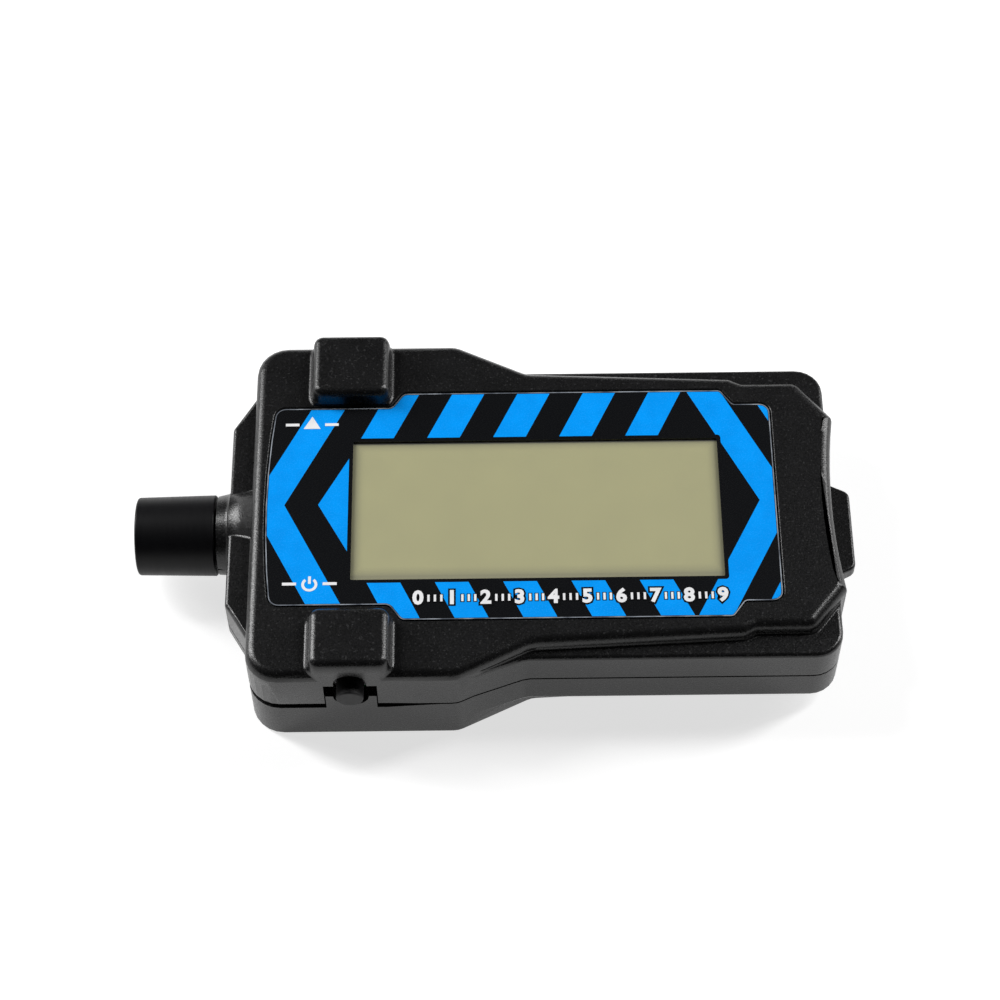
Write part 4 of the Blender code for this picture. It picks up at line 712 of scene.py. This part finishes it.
sensorResin = {
    "tones": ((0.030, 0.012, 0.016), (0.012, 0.006, 0.008)),
    "swirl": 900.0,
    "roughness": (0.06, 0.14),
    "smoothAngle": 25.0,
}
tinnedWire = {
    "tones": ((0.68, 0.68, 0.67), (0.55, 0.55, 0.54)),
    "lines": 9000.0,
    "lineDepth": 0.000002,
    "stretch": (0.05, 1.0, 1.0),
    "roughness": (0.22, 0.36),
}


def addSensorResin():
    look = sensorResin
    material = newMaterial("smoked resin", look["tones"][0], look["roughness"][0])
    swirl = noiseOf(material, look["swirl"], detail=3.0)
    setColour(material, twoTones(material, swirl, *look["tones"]))
    setGrainRoughness(material, swirl, look["roughness"])
    return material


resinPaint = addSensorResin()
mouldFrom("sensor_lens", "front_lens", resinPaint, sensorResin["smoothAngle"])
mouldFrom("photo_sensor", "sensor_body", resinPaint, sensorResin["smoothAngle"])
wirePaint = addDrawnMetal("tinned wire", tinnedWire)
mouldFrom("sensor_lead_rear", "rear_lead", wirePaint)
mouldFrom("sensor_lead_front", "front_lead", wirePaint)
print("sensor done")


# Circuit board with its traces

boardLook = {
    "mask": (0.010, 0.085, 0.032),
    "trace": (0.018, 0.150, 0.055),
    "copper": (0.55, 0.50, 0.42),
    "pitch": 0.0016,
    "traceSpan": (0.12, 0.16),     # from a trace's middle to its edge, in pitches
    "wander": 170.0,
    "wanderSpan": (0.45, 0.55),
    "wanderReach": 0.5,            # how far the traces step sideways, in pitches
    "dots": 330.0,
    "dotSpan": (0.13, 0.15),
    "roughness": (0.26, 0.36),
    "relief": 0.00003,
}


def addBoardLaminate():
    # solder mask with slightly raised traces below it, and a few tinned dots
    look = boardLook
    material = newMaterial("green board", look["mask"], look["roughness"][0])
    wander = noiseOf(material, look["wander"], detail=0.0)
    sway = mapRange(material, wander, *look["wanderSpan"], -1.0, 1.0)
    bend = mathOf(material, "MULTIPLY", sway, look["wanderReach"])
    row = mathOf(material, "DIVIDE", splitPlace(material)["Y"], look["pitch"])
    within = mathOf(material, "FRACT", mathOf(material, "ADD", row, bend))
    offMiddle = mathOf(material, "ABSOLUTE", mathOf(material, "SUBTRACT", within, 0.5))
    traces = mapRange(material, offMiddle, *look["traceSpan"], 1.0, 0.0)
    dots = addNode(material, "ShaderNodeTexVoronoi", feature="F1")
    dots.inputs["Scale"].default_value = look["dots"]
    link(material, objectPlace(material), dots.inputs["Vector"])
    tinned = mapRange(material, dots.outputs["Distance"], *look["dotSpan"], 1.0, 0.0)
    colour = mixColour(material, traces, look["mask"], look["trace"])
    setColour(material, mixColour(material, tinned, colour, look["copper"]))
    setRoughness(material, mapRange(material, tinned, 0.0, 1.0, *look["roughness"]))
    addBump(material, mathOf(material, "MAXIMUM", traces, tinned), look["relief"])
    return material


paintNode("main_board", addBoardLaminate())


# Chips, cans, screws, the cell and its contacts

chipResin = {
    "tones": ((0.016, 0.016, 0.017), (0.024, 0.024, 0.025)),
    "grain": 5200.0,
    "grainDepth": 0.000008,
    "roughness": (0.42, 0.58),
}
platedSteel = {
    "tones": ((0.62, 0.62, 0.63), (0.50, 0.50, 0.51)),
    "lines": 5200.0,
    "lineDepth": 0.000003,
    "stretch": (0.08, 1.0, 1.0),
    "roughness": (0.20, 0.36),
}
screwSteel = {
    "tones": ((0.56, 0.56, 0.55), (0.42, 0.42, 0.41)),
    "lines": 4200.0,
    "lineDepth": 0.000004,
    "stretch": (1.0, 1.0, 0.15),
    "roughness": (0.28, 0.44),
}
springMetal = {
    "tones": ((0.76, 0.58, 0.28), (0.62, 0.45, 0.20)),
    "lines": 5200.0,
    "lineDepth": 0.000003,
    "stretch": (0.08, 1.0, 1.0),
    "roughness": (0.22, 0.36),
}

chipPaint = addGrainedMaterial("chip resin", chipResin)
for chip in ("processor", "amplifier", "power_switch_body", "set_switch_body", "battery_holder"):
    mouldFrom(chip, chip + "_moulding", chipPaint)
steelPaint = addDrawnMetal("plated steel", platedSteel)
for can in ("crystal", "power_switch_cover", "set_switch_cover", "coin_cell"):
    mouldFrom(can, can + "_metal", steelPaint)
screwPaint = addDrawnMetal("zinc plated steel", screwSteel)
for screw in [node for node in sorted(frame["nodes"]) if "_screw_" in node]:
    mouldFrom(screw, screw + "_metal", screwPaint)
springPaint = addDrawnMetal("gilded spring metal", springMetal)
mouldFrom("cell_spring", "spring_contact", springPaint)
mouldFrom("cell_clip", "clip_contact", springPaint)

sleeveLook = {
    "blue": (0.012, 0.022, 0.070),
    "stripe": (0.42, 0.44, 0.46),
    "top": (0.60, 0.60, 0.60),
    "stripeSpan": (0.0006, 0.0005),    # inwards from the sleeve's side
    "topSpan": (0.0002, 0.0001),       # downwards from the can's top
    "grain": 2600.0,
    "grainDepth": 0.000005,
    "roughness": (0.24, 0.38),
}


def addSleeve():
    # dark sleeve with the pale stripe of the negative side, and a bare metal top
    look = sleeveLook
    material = newMaterial("capacitor sleeve", look["blue"], look["roughness"][0])
    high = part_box("capacitor")[1]
    place = splitPlace(material)
    start, full = look["stripeSpan"]
    stripe = mapRange(material, place["X"], high.x - start, high.x - full, 0.0, 1.0)
    colour = mixColour(material, stripe, look["blue"], look["stripe"])
    start, full = look["topSpan"]
    top = mapRange(material, place["Z"], high.z - start, high.z - full, 0.0, 1.0)
    setColour(material, mixColour(material, top, colour, look["top"]))
    grain = noiseOf(material, look["grain"])
    setGrainRoughness(material, grain, look["roughness"])
    addBump(material, grain, look["grainDepth"])
    return material


mouldFrom("capacitor", "capacitor_can", addSleeve())
print("inside done")


# Floor, world and lamps

studio = {
    "floorSize": 3.0,
    "floorColour": (0.52, 0.52, 0.52),
    "floorRoughness": 0.9,
    "floorGlow": 0.70,        # what the camera and reflections see of the floor by itself
    "floorDrop": -0.00003,
    "worldColour": (0.012, 0.012, 0.012),
    "aim": (0.0, 0.0, 0.01),  # of all lamps
}
lamps = {
    "left": {"place": (-0.66, 0.34, 0.68), "size": (0.14, 0.45), "energy": 5.4},
    "right": {"place": (0.66, 0.30, 0.70), "size": (0.14, 0.45), "energy": 5.2},
    "leftRim": {"place": (-0.77, 0.36, 0.34), "size": (0.34, 0.30), "energy": 4.4},
    "rightRim": {"place": (0.78, 0.34, 0.34), "size": (0.34, 0.30), "energy": 3.0},
    "rear": {"place": (0.0, 0.90, 0.12), "size": (0.9, 0.12), "energy": 0.26},
}


def addFloorPaper():
    # plain paper, with a glow that only the camera, reflections and clear pieces see
    material = newMaterial("floor paper", studio["floorColour"], studio["floorRoughness"])
    setGloss(material, 0.0)
    rays = addNode(material, "ShaderNodeLightPath")
    seen = mathOf(material, "MAXIMUM", rays.outputs["Is Camera Ray"], rays.outputs["Is Glossy Ray"])
    seen = mathOf(material, "MAXIMUM", seen, rays.outputs["Is Transmission Ray"])
    glow = addNode(material, "ShaderNodeEmission")
    link(material, mathOf(material, "MULTIPLY", seen, studio["floorGlow"]), glow.inputs["Strength"])
    both = addNode(material, "ShaderNodeAddShader")
    link(material, shaderOf(material).outputs["BSDF"], both.inputs[0])
    link(material, glow.outputs["Emission"], both.inputs[1])
    link(material, both.outputs["Shader"], material.node_tree.nodes["Material Output"].inputs["Surface"])
    return material


def addFloor():
    bm = bmesh.new()
    bmesh.ops.create_grid(bm, x_segments=1, y_segments=1, size=studio["floorSize"],
                          matrix=Matrix.Translation((0.0, 0.0, studio["floorDrop"])))
    mesh = bpy.data.meshes.new("floor")
    bm.to_mesh(mesh)
    bm.free()
    mesh.materials.append(addFloorPaper())
    floor = bpy.data.objects.new("floor", mesh)
    bpy.context.scene.collection.objects.link(floor)


def addWorld():
    world = bpy.data.worlds.new("world")
    bpy.context.scene.world = world
    world.use_nodes = True
    world.node_tree.nodes["Background"].inputs["Color"].default_value = (*studio["worldColour"], 1.0)


def addLamp(name, lamp):
    data = bpy.data.lights.new(name, "AREA")
    data.shape = "RECTANGLE"
    data.size, data.size_y = lamp["size"]
    data.energy = lamp["energy"]
    holder = bpy.data.objects.new(name, data)
    bpy.context.scene.collection.objects.link(holder)
    holder.location = lamp["place"]
    aim = Vector(studio["aim"]) - Vector(lamp["place"])
    holder.rotation_euler = aim.to_track_quat("-Z", "Y").to_euler()


addFloor()
addWorld()
for lampName, lamp in lamps.items():
    addLamp(lampName, lamp)
print("studio done")

bpy.context.scene.view_settings.view_transform = "Standard"
